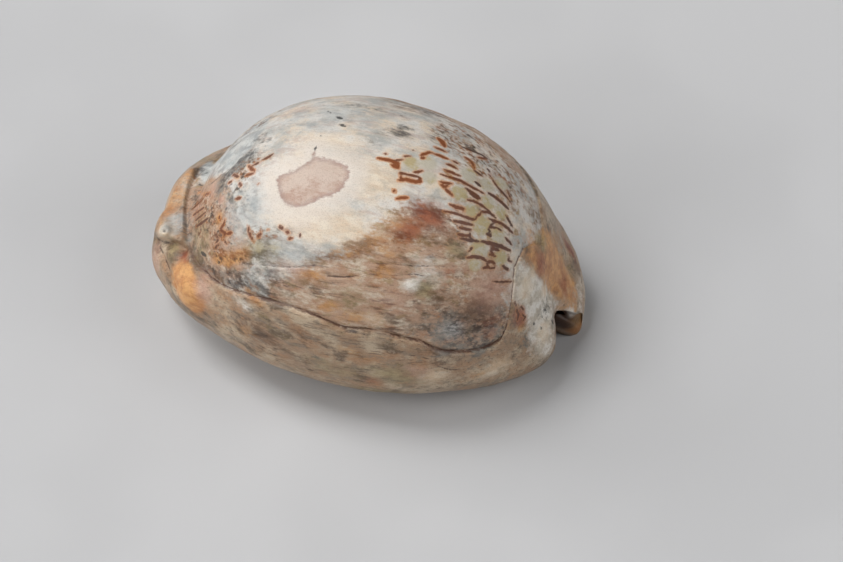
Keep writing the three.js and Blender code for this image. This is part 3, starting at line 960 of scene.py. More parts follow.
class Marks:
    """Lays strokes, stains, patches and lumps out on a surface, as values on its grid."""

    STEP_PX = 1.0
    TAPER = 0.45
    TAPER_POWER = 3
    LEAST_RISE = 1e-9
    ROUNDINGS = 2
    FARTHEST = 3.0
    POINTS_AT_ONCE = 1500
    HUMP = 0.7
    CUT = 0.25
    RING_EDGE: Span = (-0.5, 0.1)

    def __init__(self, surface: Surface) -> None:
        """Keeps the surface and lays it out flat."""
        self.surface = surface
        self.flat = surface.chart()

    def _along(self, stroke: Stroke) -> tuple[Array, Array]:
        """Steps along a stroke's path.

        Args:
            stroke: The dash.

        Returns:
            Pixels about STEP_PX apart, and the half-width at each, thinner towards both ends.
        """
        path = np.asarray(stroke.path_px, float)
        run = np.concatenate([[0], np.cumsum(np.linalg.norm(np.diff(path, axis=0), axis=1))])
        count = max(2, int(run[-1] / self.STEP_PX) + 1)
        stops = np.linspace(0, run[-1], count)
        pixels = np.stack([np.interp(stops, run, path[:, k]) for k in range(2)], axis=1)
        middle = 1 - np.abs(np.linspace(-1, 1, count)) ** self.TAPER_POWER
        return pixels, stroke.half_width * (1 - self.TAPER * (1 - middle))

    def strokes(self, strokes: Sequence[Stroke]) -> tuple[Array, Array]:
        """Measures how far the grid's points are from the edges of some dashes.

        Args:
            strokes: The dashes.

        Returns:
            The distance outside the nearest dash's edge, negative within it, in millimetres, and its warmth.
        """
        pieces = [self._along(stroke) for stroke in strokes]
        points, _ = self.surface.locate(np.concatenate([pixels for pixels, _ in pieces]))
        widths = np.concatenate([half_widths for _, half_widths in pieces])
        warmth = np.concatenate([np.full(len(half_widths), stroke.warmth)
                                 for stroke, (_, half_widths) in zip(strokes, pieces)])
        skin = self.surface.points.reshape(-1, 3)
        distance = np.full(len(skin), self.FARTHEST)
        warm = np.full(len(skin), Stroke.warmth)
        within = (skin > points.min(0) - self.FARTHEST) & (skin < points.max(0) + self.FARTHEST)
        near = np.nonzero(within.all(1))[0]
        for part in np.array_split(near, max(1, len(near) // self.POINTS_AT_ONCE)):
            gaps = np.linalg.norm(skin[part][:, None, :] - points[None], axis=-1) - widths[None]
            first = np.argmin(gaps, axis=1)
            distance[part] = np.minimum(gaps[np.arange(len(part)), first], self.FARTHEST)
            warm[part] = warmth[first]
        shape = self.surface.station.shape
        return distance.reshape(shape), warm.reshape(shape)

    def outline(self, outline_px: Sequence[Pixel]) -> Array:
        """Measures how deep inside an outline the grid's points lie on the flat chart.

        The outline's corners are cut off a few times over, which leaves a smooth line.

        Args:
            outline_px: The outline's corners in the photograph.

        Returns:
            The distance to the outline in millimetres, positive inside it.
        """
        return self._depth(self.surface.locate(outline_px)[1])

    def _depth(self, corners: Array) -> Array:
        """Measures how deep inside an outline on the flat chart the points lie, its corners rounded."""
        for _ in range(self.ROUNDINGS):
            edges = np.roll(corners, -1, axis=0) - corners
            cuts = [corners + self.CUT * edges, corners + (1 - self.CUT) * edges]
            corners = np.stack(cuts, axis=1).reshape(-1, 2)
        ends = np.roll(corners, -1, axis=0)
        distance = np.full(self.flat.shape[:2], np.inf)
        inside = np.zeros(self.flat.shape[:2], bool)
        for start, end in zip(corners, ends):
            edge, away = end - start, self.flat - start
            share = np.clip((away @ edge) / (edge @ edge), 0, 1)
            distance = np.minimum(distance, np.linalg.norm(away - share[..., None] * edge, axis=-1))
            crosses = (start[1] > self.flat[..., 1]) != (end[1] > self.flat[..., 1])
            rise = self.LEAST_RISE if abs(edge[1]) < self.LEAST_RISE else edge[1]
            at = start[0] + (self.flat[..., 1] - start[1]) / rise * edge[0]
            inside ^= crosses & (self.flat[..., 0] < at)
        return np.where(inside, distance, -distance)

    def stain(self, stain: Stain) -> Array:
        """Gives an oval's shape over the grid: a hump over its own half-lengths, turned by its own angle."""
        points, flat = self.surface.locate([stain.at_px])
        away = self.surface.points - points[0]
        along = away[..., 0]
        across = np.sign(self.flat[..., 1] - flat[0, 1]) * np.hypot(away[..., 1], away[..., 2])
        turn = math.radians(stain.turn_deg)
        first = (along * math.cos(turn) + across * math.sin(turn)) / stain.reach[0]
        second = (-along * math.sin(turn) + across * math.cos(turn)) / stain.reach[1]
        return np.exp(-self.HUMP * (first**2 + second**2))

    def tones(self) -> dict[Tone, Array]:
        """Gives each tone's strength over the grid: that of its strongest stain or patch at each point."""
        fields = {tone: np.zeros(self.surface.station.shape) for tone in Tone}

        def lay(tone: Tone, mark: Union[Stain, Patch], strength: Array) -> None:
            """Puts one mark into its tone's field."""
            fields[tone] = np.maximum(fields[tone], mark.strength * strength)
            LOG.debug("mark: %s", mark.name)

        for tone, stains in STAINS.items():
            for stain in stains:
                lay(tone, stain, self.stain(stain))
        for patch in PATCHES:
            lay(patch.tone, patch, ease(self.outline(patch.outline), -patch.softness, patch.softness))
        for far in FAR_PATCHES:
            depth = self._depth(self._on_chart(far.outline))
            lay(far.tone, far, ease(depth, -far.softness, far.softness))
        return fields

    def _on_chart(self, places: Sequence[tuple[float, float]]) -> Array:
        """Turns places, as millimetres along and degrees round, into points of the flat chart."""
        along, round_deg = np.asarray(places, float).T
        return np.stack([along, np.radians(round_deg) * self.surface.chart_radius], axis=-1)

    def rings(self) -> Array:
        """Gives the strength of the round pale spots among the dashes."""
        points, _ = self.surface.locate([(x, y) for x, y, _ in RING_PATCHES_PX])
        strength = np.zeros(self.surface.station.shape)
        for point, (_, _, radius) in zip(points, RING_PATCHES_PX):
            away = np.linalg.norm(self.surface.points - point, axis=-1)
            strength = np.maximum(strength, ease(radius - away, *self.RING_EDGE))
        return strength

    def lumps(self) -> Array:
        """Adds up the small rises and pits, in millimetres."""
        points, _ = self.surface.locate([lump.at_px for lump in LUMPS])
        return sum(lump.height * bell(np.linalg.norm(self.surface.points - point, axis=-1), lump.reach)
                   for lump, point in zip(LUMPS, points))

    def creases(self) -> Array:
        """Adds up the folds and ridges: a hump across each one's path, in millimetres."""
        total = np.zeros(self.surface.station.shape)
        for crease in CREASES:
            distance, _ = self.strokes((Stroke(crease.path_px, 0.0),))
            total += crease.height * bell(distance, crease.reach)
        return total

    def past_lap(self) -> Array:
        """Measures how far past the callus's edge the grid's points lie.

        Seen from a hub inside the dome, the edge is one closed line: a tilt from upright in every bearing.

        Returns:
            Millimetres past the edge: negative on the back, positive on the callus.
        """
        near, _ = self.surface.locate(LAP_NEAR_PX)
        far = [np.argmin(((self.flat - place) ** 2).sum(-1)) for place in self._on_chart(LAP_FAR)]
        line = np.concatenate([near, self.surface.points.reshape(-1, 3)[far]])

        def seen(points: Array) -> tuple[Array, Array, Array]:
            """Gives the bearing, the tilt and the distance of points from the hub."""
            away = points - np.array(LAP_HUB)
            bearing = np.arctan2(away[..., 1], away[..., 0])
            level = np.hypot(away[..., 0], away[..., 1])
            return bearing, np.arctan2(level, away[..., 2]), np.hypot(level, away[..., 2])

        bearings, tilts, _ = seen(line)
        order = np.argsort(bearings)
        bearing, tilt, distance = seen(self.surface.points)
        return (tilt - np.interp(bearing, bearings[order], tilts[order], period=2 * math.pi)) * distance


@dataclass
class CowrieShell:
    """The whole shell as one skin: its form, its wear, its mesh and the attributes its colours follow."""

    form: ShellForm
    view: PhotoView
    name: str = "shell_skin"
    stations: int = 212
    outer_steps: int = 320
    inner_share: int = 4
    lip_steps: int = 9
    station_density: tuple[tuple[float, float], ...] = (
        (-1, 1.0), (-0.7, 1.0), (-0.62, 1.3), (-0.2, 1.3), (0.0, 1.0), (0.1, 1.6), (0.58, 1.6), (0.66, 1.1),
        (1, 1.0))
    angle_density: tuple[tuple[float, float], ...] = (
        (-1, 0.7), (-0.6, 0.8), (-0.5, 2.6), (-0.32, 3.0), (0.2, 3.0), (0.28, 1.0), (0.5, 0.7), (1, 0.7))
    worn_lobes: tuple[Swelling, ...] = (
        Swelling("outer lip's rear flange", (-34.4, -4.0, 8.0), 1.2, 1.8),
        Swelling("outer lip's margin", (10.0, -23.0, 7.0), 0.6, 8.0),
    )
    tip_drop: float = 2.7
    tip_depth: float = 1.1
    tip_reach: float = 0.5
    tip_along: Span = (28.5, 34.5)
    tip_near: Span = (-2.0, 0.8)
    tip_far: Span = (-9.0, -5.0)
    tip_foot: Span = (-6.5, -3.5)
    near_setback: float = 1.0
    near_along: Span = (29.0, 33.0)
    near_across: Span = (0.0, 2.2)
    near_return: float = 1.3
    near_return_across: Span = (2.8, 6.5)
    flange_reach: float = 0.7
    flange_along: Span = (31.0, 34.0)
    flange_across: Span = (1.5, 4.0)
    lap_step: float = 0.55
    lap_fade: float = 9.0
    lap_edge: Span = (-0.1, 0.5)
    lap_groove: float = 0.4
    lap_groove_width: float = 0.35
    far_side: Span = (4.0, 16.0)
    far_side_loss: float = 0.7
    rear_end: Span = (22.0, 27.0)
    rear_loss: float = 0.6
    worn_depth: float = 0.14
    worn_edge: Span = (-0.2, 0.5)
    crack_depth: float = 0.12
    crack_edge: Span = (-0.25, 0.05)
    wrinkle_height: float = 0.09
    wrinkle_pitch: float = 1.6
    wrinkle_layers: int = 2
    wrinkle_stretch: tuple[float, float, float] = (0.22, 1.0, 1.0)
    uneven_height: float = 0.16
    uneven_pitch: float = 7.0
    chalk_along: Span = (24.0, 28.0)
    chalk_height: float = 0.22
    chalk_pitch: float = 1.9
    pit_depth: float = 0.3
    pit_pitch: float = 0.9
    wear_seed: int = 5
    teeth: int = 23
    teeth_from: float = -0.8
    teeth_to: float = 0.84
    teeth_end: float = 0.03
    teeth_stand: float = 0.65
    teeth_share_in: float = 0.4
    teeth_on_base: float = 0.55
    teeth_fade: float = 1.8
    away_from_marks: Mapping[str, float] = field(default_factory=lambda: {
        "ink": Marks.FARTHEST, "speck": Marks.FARTHEST, "crack": Marks.FARTHEST, "worn": -30.0,
        "past_lap": 20.0})

    def _surface(self) -> Surface:
        """Samples the outer skin before wear, centred in the part's frame."""
        station = np.sin(math.pi / 2 * spaced(self.station_density, self.stations))
        share = spaced(self.angle_density, self.outer_steps)
        end = math.pi - np.arctan2(self.form.lip_reach(station),
                                   self.form.egg_radius(station, np.full_like(station, math.pi)))
        end = end - self.form.lip_corner(station)
        angle = end[:, None] * share[None, :]
        station = np.broadcast_to(station[:, None], angle.shape)
        points = self.form.place(station, angle, self.form.swollen_radius(station, angle))
        return Surface(station, angle, points - self._middle(points), self.view)

    @staticmethod
    def _middle(points: Array) -> Array:
        """Gives the middle of the points' box in plan, at no height."""
        flat = points.reshape(-1, 3)
        middle = (flat.min(0) + flat.max(0)) / 2
        return np.array([middle[0], middle[1], 0.0])

    def _ribs(self, station: Array) -> Array:
        """Gives the run of teeth along the lips: 1 on the crest of each tooth and 0 between two teeth."""
        number = (station - self.teeth_from) / (self.teeth_to - self.teeth_from) * (self.teeth - 1)
        crest = np.cos(math.pi * (number - np.round(number))) ** 2
        begun = ease(station, self.teeth_from - self.teeth_end, self.teeth_from)
        left = ease(-station, -self.teeth_to - self.teeth_end, -self.teeth_to)
        return 1 - begun * left * (1 - crest)

    def _wear(self, surface: Surface, attributes: dict[str, Array]) -> Array:
        """Works out how far the worn skin stands from the smooth form, in millimetres along the radius.

        Args:
            surface: The smooth outer skin.
            attributes: The marks that have a depth, by attribute name.

        Returns:
            The step up on to the callus and its groove, the small lumps, the sunk worn patch, the cracks,
            lengthwise wrinkles of the callus, a slow unevenness, and the furrows between the teeth.
        """
        noise = LatticeNoise(self.wear_seed)
        points = surface.points
        past = attributes["past_lap"]
        rim = closing(surface.station, self.form.collar_power)
        on_callus = ease(past, *self.lap_edge)
        lap = 1 - self.far_side_loss * ease(points[..., 1], *self.far_side)
        step = self.lap_step * lap * on_callus * np.exp(-np.clip(past, 0, None) / self.lap_fade)
        at_rear = 1 - self.rear_loss * ease(-points[..., 0], *self.rear_end)
        groove = -self.lap_groove * at_rear * bell(past, self.lap_groove_width)
        worn = -self.worn_depth * ease(attributes["worn"], *self.worn_edge)
        cracks = -self.crack_depth * ease(-attributes["crack"], *self.crack_edge)
        drawn_out = points * np.array(self.wrinkle_stretch)
        wrinkles = noise.layered(drawn_out, self.wrinkle_pitch, self.wrinkle_layers)
        wrinkles = self.wrinkle_height * wrinkles * on_callus
        uneven = self.uneven_height * noise.layered(points, self.uneven_pitch)
        chalk = attributes[Tone.WHITE.value] * ease(points[..., 0], *self.chalk_along)
        rises = self.chalk_height * noise.at(points, self.chalk_pitch)
        pits = chalk * (rises - self.pit_depth * np.clip(noise.at(points, self.pit_pitch), 0, 1))
        from_lip = self.form.girdle_z * np.minimum(np.abs(surface.angle - surface.angle[:, :1]),
                                                   np.abs(surface.angle - surface.angle[:, -1:]))
        furrows = -self.teeth_on_base * (1 - self._ribs(surface.station)) * bell(from_lip, self.teeth_fade)
        marks = Marks(surface)
        lobes = sum(lobe.height * bell(np.linalg.norm(points - np.array(lobe.at), axis=-1), lobe.reach)
                    for lobe in self.worn_lobes)
        fine = marks.lumps() + marks.creases() + lobes + step + groove + worn
        fine = fine + cracks + wrinkles + uneven + pits
        fine = np.clip(fine, 0, None) + np.clip(fine, None, 0) * np.sqrt(rim)
        return fine + furrows * rim - self.form.rim_turn(surface.station)

    def _loops(self, surface: Surface, wear: Array) -> tuple[Array, Array, int]:
        """Builds the closed loops round the wall: outer skin, inner lip, hollow, outer lip.

        Args:
            surface: The smooth outer skin.
            wear: How far the worn skin stands from it.

        Returns:
            The points of every loop, how far inside the shell each one is, from 0 to 1, and the number of
            points on the outer skin.
        """
        form = self.form
        station = surface.station[:, :1]
        middle = self._middle(form.place(surface.station, surface.angle,
                                         form.swollen_radius(surface.station, surface.angle)))
        radius = form.swollen_radius(surface.station, surface.angle) + wear
        outer = form.place(surface.station, surface.angle, radius)
        share = spaced(self.angle_density, self.outer_steps)[::-self.inner_share]
        floor_radius = form.hollow_radius(station, np.full_like(station, math.pi))
        end = math.pi - np.arctan2(form.lip_reach(station), floor_radius) - form.lip_corner(station)
        inner_angle = end * share[None, :]
        inner_station = np.broadcast_to(station, inner_angle.shape)
        inner = form.place(inner_station, inner_angle, form.hollow_radius(inner_station, inner_angle))
        roll = form.lip_roll * closing(station, form.collar_power)
        ribs = self._ribs(station) - self.teeth_share_in
        stand = self.teeth_stand * ribs * closing(station, form.collar_power)
        turn = math.pi * (np.arange(1, self.lip_steps) / self.lip_steps - 0.5)
        lip_share = ((1 + np.sin(turn)) / 2)[None, :, None]

        def lip(start: Array, stop: Array, side: float) -> Array:
            """Rolls a lip as half an ellipse from edge to edge, with its teeth standing into the slit."""
            points = start[:, None] * (1 - lip_share) + stop[:, None] * lip_share
            points[..., 1] += side * (roll + stand) * np.cos(turn)[None, :]
            return points

        inner_lip = lip(outer[:, -1], inner[:, 0], -1.0)
        outer_lip = lip(inner[:, -1], outer[:, 0], 1.0)
        loops = self._warped(np.concatenate([outer, inner_lip, inner, outer_lip], axis=1) - middle)
        inward = (1 + np.sin(turn)) / 2
        depth = np.concatenate([np.zeros(outer.shape[1]), inward, np.ones(inner.shape[1]), 1 - inward])
        return loops, np.broadcast_to(depth, loops.shape[:2]), outer.shape[1]

    def _warped(self, loops: Array) -> Array:
        """Bends the ends as the photograph shows them.

        The inner lip's front tip drops and reaches out, the outer lip beside it is set back, and the rear
        flange reaches out. Each move fades in over a span along the shell and one across it. Nothing goes
        under the floor.

        Args:
            loops: Points of every loop, in millimetres.

        Returns:
            The moved points.
        """
        x, y, z = np.moveaxis(loops, -1, 0)
        tip = ease(x, *self.tip_along) * ease(y, *self.tip_near) * ease(-y, *self.tip_far)
        back = 1 - self.near_return * ease(-y, *self.near_return_across)
        near = ease(x, *self.near_along) * ease(-y, *self.near_across) * back
        flange = ease(-x, *self.flange_along) * ease(-y, *self.flange_across)
        x = x - self.flange_reach * flange - self.near_setback * near + self.tip_reach * tip
        z = z - (self.tip_drop + self.tip_depth * ease(-z, *self.tip_foot)) * tip
        return np.stack([x, y, np.maximum(z, 0)], axis=-1)

    def _triangles(self, rows: int, size: int, outer: int) -> Array:
        """Joins the loops: two triangles for each cell, and the rims, where each end loop is folded shut.

        Args:
            rows: How many loops there are.
            size: How many points each loop has.
            outer: How many of them are on the outer skin.

        Returns:
            Corners of the triangles, as numbers of points, with none that has two corners alike.
        """
        row, place = np.meshgrid(np.arange(rows - 1), np.arange(size), indexing="ij")
        following = (place + 1) % size
        a, b = row * size + place, (row + 1) * size + place
        c, d = (row + 1) * size + following, row * size + following
        sides = np.stack([a, b, c, a, c, d], axis=-1).reshape(-1, 3)
        inner = (outer - 1) // self.inner_share + 1
        lip = self.lip_steps - 1
        folded = np.arange(size)
        folded[outer:outer + lip] = outer - 1
        folded[outer + lip:outer + lip + inner] = np.arange(inner)[::-1] * self.inner_share
        folded[outer + lip + inner:] = 0
        same = np.arange(rows * size)
        same[:size] = folded
        same[-size:] = folded + (rows - 1) * size
        start = np.arange(0, outer - 1, self.inner_share)
        fans = [np.stack([start, start + k, start + k + 1], axis=-1) for k in range(1, self.inner_share)]
        rear = np.concatenate(fans)
        front = rear[:, ::-1] + (rows - 1) * size
        corners = same[np.concatenate([sides, rear, front])]
        whole = (corners != np.roll(corners, 1, axis=1)).all(axis=1)
        return corners[whole]

    def build(self) -> bpy.types.Object:
        """Builds the shell's mesh with its attributes.

        Returns:
            The shell's object, at the origin, with smooth faces and no material yet.
        """
        surface = self._surface()
        marks = Marks(surface)
        ink, warmth = marks.strokes(FRONT_BAND + FRONT_BRANCH + REAR_MARKS)
        speck, _ = marks.strokes(DARK_SPECKS)
        crack, _ = marks.strokes(CRACKS)
        attributes: dict[str, Array] = {
            "ink": ink, "ink_warmth": warmth, "speck": speck, "crack": crack,
            "ring": marks.rings(), "worn": marks.outline(WORN_OUTLINE), "past_lap": marks.past_lap(),
            "chart_across": surface.angle * surface.chart_radius,
            **{tone.value: values for tone, values in marks.tones().items()}}
        loops, depth, outer = self._loops(surface, self._wear(surface, attributes))
        rows, size = loops.shape[:2]
        triangles = self._triangles(rows, size, outer)
        used, corners = np.unique(triangles, return_inverse=True)
        mesh = bpy.data.meshes.new(self.name)
        mesh.from_pydata((loops.reshape(-1, 3)[used] * MM).tolist(), [], corners.reshape(-1, 3).tolist())
        mesh.polygons.foreach_set("use_smooth", np.ones(len(triangles), bool))
        for name, values in attributes.items():
            whole = np.full((rows, size), self.away_from_marks.get(name, 0.0))
            whole[:, :outer] = values
            self._store(mesh, name, whole.reshape(-1)[used])
        self._store(mesh, "inside", depth.reshape(-1)[used])
        self._store(mesh, "tooth", np.broadcast_to(
            self._ribs(surface.station[:, :1]), (rows, size)).reshape(-1)[used])
        mesh.update()
        shell = bpy.data.objects.new(self.name, mesh)
        bpy.context.scene.collection.objects.link(shell)
        LOG.info("%s: %d triangles", self.name, len(triangles))
        return shell

    @staticmethod
    def _store(mesh: bpy.types.Mesh, name: str, values: Array) -> None:
        """Stores one number for each point of a mesh under a name."""
        layer = mesh.attributes.new(name, "FLOAT", "POINT")
        layer.data.foreach_set("value", np.ascontiguousarray(values, np.float32))


Value = Union["Field", float]


class Field:
    """A number that varies over a surface: a shader socket that takes part in Python arithmetic."""

    def __init__(self, graph: "Graph", socket: Socket) -> None:
        """Keeps the socket and the graph it belongs to."""
        self.graph, self.socket = graph, socket

    def __add__(self, other: Value) -> "Field":
        """Adds."""
        return self.graph.math("ADD", self, other)

    __radd__ = __add__

    def __sub__(self, other: Value) -> "Field":
        """Subtracts."""
        return self.graph.math("SUBTRACT", self, other)

    def __rsub__(self, other: Value) -> "Field":
        """Is subtracted from a number."""
        return self.graph.math("SUBTRACT", other, self)

    def __mul__(self, other: Value) -> "Field":
        """Multiplies."""
        return self.graph.math("MULTIPLY", self, other)

    __rmul__ = __mul__

    def __abs__(self) -> "Field":
        """Drops the sign."""
        return self.graph.math("ABSOLUTE", self)

    def ease(self, low: float, high: float) -> "Field":
        """Goes from 0 at low to 1 at high with no corner at either, and stays there beyond."""
        node = self.graph.node("ShaderNodeMapRange", {"interpolation_type": "SMOOTHSTEP"},
                               {"Value": self, "From Min": low, "From Max": high})
        return Field(self.graph, node.outputs[0])


ColourLike = Union[Socket, Colour]


class Graph:
    """A material's nodes, made by name and joined by value."""

    def __init__(self, name: str) -> None:
        """Makes an empty material with a principled surface on its output."""
        self.material = bpy.data.materials.new(name)
        self.material.use_nodes = True
        self.tree = self.material.node_tree
        self.tree.nodes.clear()
        self.surface = self.node("ShaderNodeBsdfPrincipled")
        self.node("ShaderNodeOutputMaterial", inputs={"Surface": self.surface.outputs[0]})
        place = self.node("ShaderNodeTexCoord").outputs["Object"]
        in_mm = self.node("ShaderNodeVectorMath", {"operation": "SCALE"}, {0: place, "Scale": 1 / MM})
        self.place = in_mm.outputs[0]
        parts = self.node("ShaderNodeSeparateXYZ", {}, {0: self.place}).outputs
        self.along, self.aside, self.upward = (Field(self, part) for part in parts)

    def node(self, kind: str, settings: Mapping[str, Any] = {},
             inputs: Mapping[Any, Any] = {}) -> bpy.types.Node:
        """Makes one node.

        Args:
            kind: The node's type.
            settings: Its own settings, which are set first.
            inputs: The values or links of its sockets, by name or number.

        Returns:
            The node.
        """
        made = self.tree.nodes.new(kind)
        for name, value in settings.items():
            setattr(made, name, value)
        self._fill(made, inputs)
        return made

    def _fill(self, made: bpy.types.Node, inputs: Mapping[Any, Any]) -> None:
        """Sets or links sockets of a node by name or number."""
        for name, value in inputs.items():
            socket = made.inputs[name]
            value = value.socket if isinstance(value, Field) else value
            if isinstance(value, Socket):
                self.tree.links.new(value, socket)
            else:
                socket.default_value = value

    def dress(self, inputs: Mapping[str, Any]) -> None:
        """Sets or links sockets of the principled surface by name."""
        self._fill(self.surface, inputs)

    def math(self, operation: str, *values: Value) -> Field:
        """Adds one Math node."""
        node = self.node("ShaderNodeMath", {"operation": operation}, dict(enumerate(values)))
        return Field(self, node.outputs[0])

    def attribute(self, name: str) -> Field:
        """Reads one of the skin's own attributes."""
        node = self.node("ShaderNodeAttribute", {"attribute_name": name})
        return Field(self, node.outputs["Fac"])

    def noise(self, scale: float, detail: float = 3.0, stretch: tuple[float, float, float] = (1, 1, 1),
              shift: tuple[float, float, float] = (0, 0, 0), roughness: float = 0.55) -> Field:
        """Reads cloudy noise at the surface's place.

        Args:
            scale: Clouds for each millimetre.
            detail: How many finer layers there are.
            stretch: Factor on each axis: under 1 draws the clouds out along it.
            shift: Where the clouds begin, so that two readings differ.
            roughness: How strong the finer layers are.

        Returns:
            A field of about 0.2 to 0.8 with its middle at 0.5.
        """
        place = self.node("ShaderNodeVectorMath", {"operation": "MULTIPLY_ADD"},
                          {0: self.place, 1: stretch, 2: shift}).outputs[0]
        node = self.node("ShaderNodeTexNoise", {}, {"Vector": place, "Scale": scale, "Detail": detail,
                                                    "Roughness": roughness})
        return Field(self, node.outputs[0])

    def mix(self, under: ColourLike, over: ColourLike, share: Value) -> Socket:
        """Lays one colour over another by a share from 0 to 1."""
        return self._mix("MIX", under, over, share)

    def shade(self, under: ColourLike, over: ColourLike, share: Value) -> Socket:
        """Multiplies one colour by another by a share from 0 to 1."""
        return self._mix("MULTIPLY", under, over, share)

    def _mix(self, blend: str, under: ColourLike, over: ColourLike, share: Value) -> Socket:
        """Adds one Mix node for colours."""
        node = self.node("ShaderNodeMix", {"data_type": "RGBA", "blend_type": blend, "clamp_factor": True},
                         {0: share, 6: under, 7: over})
        return node.outputs[2]


class Noise(Enum):
    """The noises that break the shell's colours up. Most are drawn out along it, as growth and wear are.

    Each holds its clouds for each millimetre, how many finer layers it has, the factor along the shell,
    where it begins, and how strong its finer layers are.
    """

    CLOUD_A = (0.26, 5.0, 0.7, (13.1, 4.7, 8.2), 0.62)
    CLOUD_B = (0.26, 5.0, 0.7, (44.1, 4.7, 8.2), 0.62)
    CLOUD_C = (0.26, 5.0, 0.7, (75.1, 4.7, 8.2), 0.62)
    DAB_A = (0.62, 5.0, 0.5, (2.3, 9.1, 5.5), 0.66)
    DAB_B = (0.62, 5.0, 0.5, (2.3, 32.1, 5.5), 0.66)
    DAB_C = (0.62, 5.0, 0.5, (2.3, 55.1, 5.5), 0.66)
    DAB_D = (0.62, 5.0, 0.5, (2.3, 78.1, 5.5), 0.66)
    STREAK_A = (1.0, 5.0, 0.14, (5.2, 0.4, 2.8), 0.64)
    STREAK_B = (1.0, 5.0, 0.14, (22.2, 0.4, 2.8), 0.64)
    FINE = (1.9, 4.0, 0.6, (8.3, 2.9, 1.1), 0.66)
    GRAIN = (6.0, 2.0, 1.0, (7.7, 1.3, 3.9), 0.55)
    HAIR = (3.2, 3.0, 0.06, (1.2, 6.4, 9.8), 0.55)


Blend = tuple[tuple[Noise, float], ...]
DABS = (Noise.DAB_A, Noise.DAB_B, Noise.DAB_C, Noise.DAB_D)
STREAKS = (Noise.STREAK_A, Noise.STREAK_B)


class Mottle:
    """The shell's noises, laid out once in a graph."""

    MIDDLE = 0.5
    DAB_SHARE = 1.1
    FINE_SHARE = 0.9
    STREAK_SHARE = 0.5

    def __init__(self, graph: Graph) -> None:
        """Lays out every noise."""
        self.graph = graph
        self.fields: dict[Noise, Field] = {}
        for noise in Noise:
            scale, detail, stretch, shift, roughness = noise.value
            self.fields[noise] = graph.noise(scale, detail, (stretch, 1, 1), shift, roughness)

    def about(self, *parts: tuple[Noise, float]) -> Value:
        """Adds up parts of some noises, each taken round 0."""
        return sum(weight * (self.fields[noise] - self.MIDDLE) for noise, weight in parts)

    def edge(self, number: int = 0) -> Field:
        """Gives a field round 0 that breaks an edge up, coarsely and finely at once."""
        return self.about((DABS[number % len(DABS)], self.DAB_SHARE), (Noise.FINE, self.FINE_SHARE),
                          (STREAKS[number % len(STREAKS)], self.STREAK_SHARE))


@dataclass(frozen=True)
class Layer:
    """A colour that lies where a field, broken up by a blend of noises, passes from one value to another."""

    colour: Colour
    cover: float
    passes: Span
    blend: Blend = ()

    def over(self, under: ColourLike, mottle: Mottle, where: Value = 0.0, share: Value = 1.0,
             own: Optional[Socket] = None) -> Socket:
        """Lays the colour over another.

        Args:
            under: The colour below.
            mottle: The noises.
            where: The field that says where the layer lies, or 0 where its noises alone do.
            share: A further factor on its cover.
            own: A varying colour in place of the layer's plain one.

        Returns:
            The two colours as one.
        """
        amount = (where + mottle.about(*self.blend)).ease(*self.passes)
        return mottle.graph.mix(under, own or self.colour, self.cover * share * amount)


@dataclass(frozen=True)
class Ground:
    """A ground that layers are laid on in turn."""

    colour: Colour
    layers: tuple[Layer, ...]

    def laid(self, mottle: Mottle) -> Socket:
        """Lays the layers on the ground."""
        colour: ColourLike = self.colour
        for layer in self.layers:
            colour = layer.over(colour, mottle)
        return colour


@dataclass(frozen=True)
class ToneFinish:
    """How one tone looks: its two colours, how ragged its edge is, and how much of what is under it goes."""

    light: Colour
    dark: Colour
    ragged: float
    cover: float


WHITE = pigment(220, 215, 208)
WEATHERED_PALE = pigment(218, 204, 184)
WEATHERED_DARK = pigment(84, 66, 56)
CALLUS_PALE = pigment(196, 177, 152)
CALLUS_WARM = pigment(178, 138, 104)
CALLUS_DARK = pigment(102, 84, 68)

BACK = Ground(WHITE, (
    Layer(pigment(226, 206, 180), 0.8, (-0.1, 0.16), ((Noise.CLOUD_A, 1), (Noise.DAB_A, 0.4))),
    Layer(pigment(172, 173, 169), 0.85, (-0.09, 0.18), ((Noise.CLOUD_B, 1), (Noise.DAB_B, 0.5))),
    Layer(pigment(192, 172, 160), 0.6, (0.0, 0.14), ((Noise.STREAK_A, 1), (Noise.CLOUD_C, 0.5))),
    Layer(pigment(128, 124, 122), 0.5, (0.06, 0.28), ((Noise.DAB_C, 1), (Noise.FINE, 0.9))),
    Layer(WHITE, 0.55, (0.04, 0.18), ((Noise.FINE, 1),)),
))

WEATHERED = Ground(pigment(186, 154, 130), (
    Layer(WEATHERED_PALE, 0.9, (-0.04, 0.18), ((Noise.DAB_A, 1), (Noise.STREAK_B, 0.3))),
    Layer(pigment(168, 116, 76), 0.75, (-0.02, 0.22), ((Noise.DAB_B, 1), (Noise.STREAK_A, 0.4))),
    Layer(pigment(164, 142, 100), 0.7, (0.04, 0.16), ((Noise.DAB_C, 1), (Noise.FINE, 0.4))),
    Layer(WEATHERED_DARK, 0.75, (0.04, 0.2), ((Noise.STREAK_A, 1), (Noise.DAB_D, 0.5))),
    Layer(WEATHERED_DARK, 0.5, (0.08, 0.2), ((Noise.HAIR, 1),)),
    Layer(WEATHERED_PALE, 0.25, (0.06, 0.2), ((Noise.FINE, 1),)),
))

CALLUS_WARM_BLEND: Blend = ((Noise.CLOUD_A, 1), (Noise.STREAK_A, 0.3))
CALLUS_PALE_BLEND: Blend = ((Noise.CLOUD_C, 1), (Noise.DAB_D, 0.3), (Noise.STREAK_B, 0.3))
CALLUS_DARK_BLEND: Blend = ((Noise.CLOUD_B, 1), (Noise.STREAK_B, 0.5), (Noise.DAB_C, 0.3))
CALLUS_OLIVE_BLEND: Blend = (CALLUS_WARM_BLEND + CALLUS_PALE_BLEND
                             + tuple((noise, -weight) for noise, weight in CALLUS_DARK_BLEND))

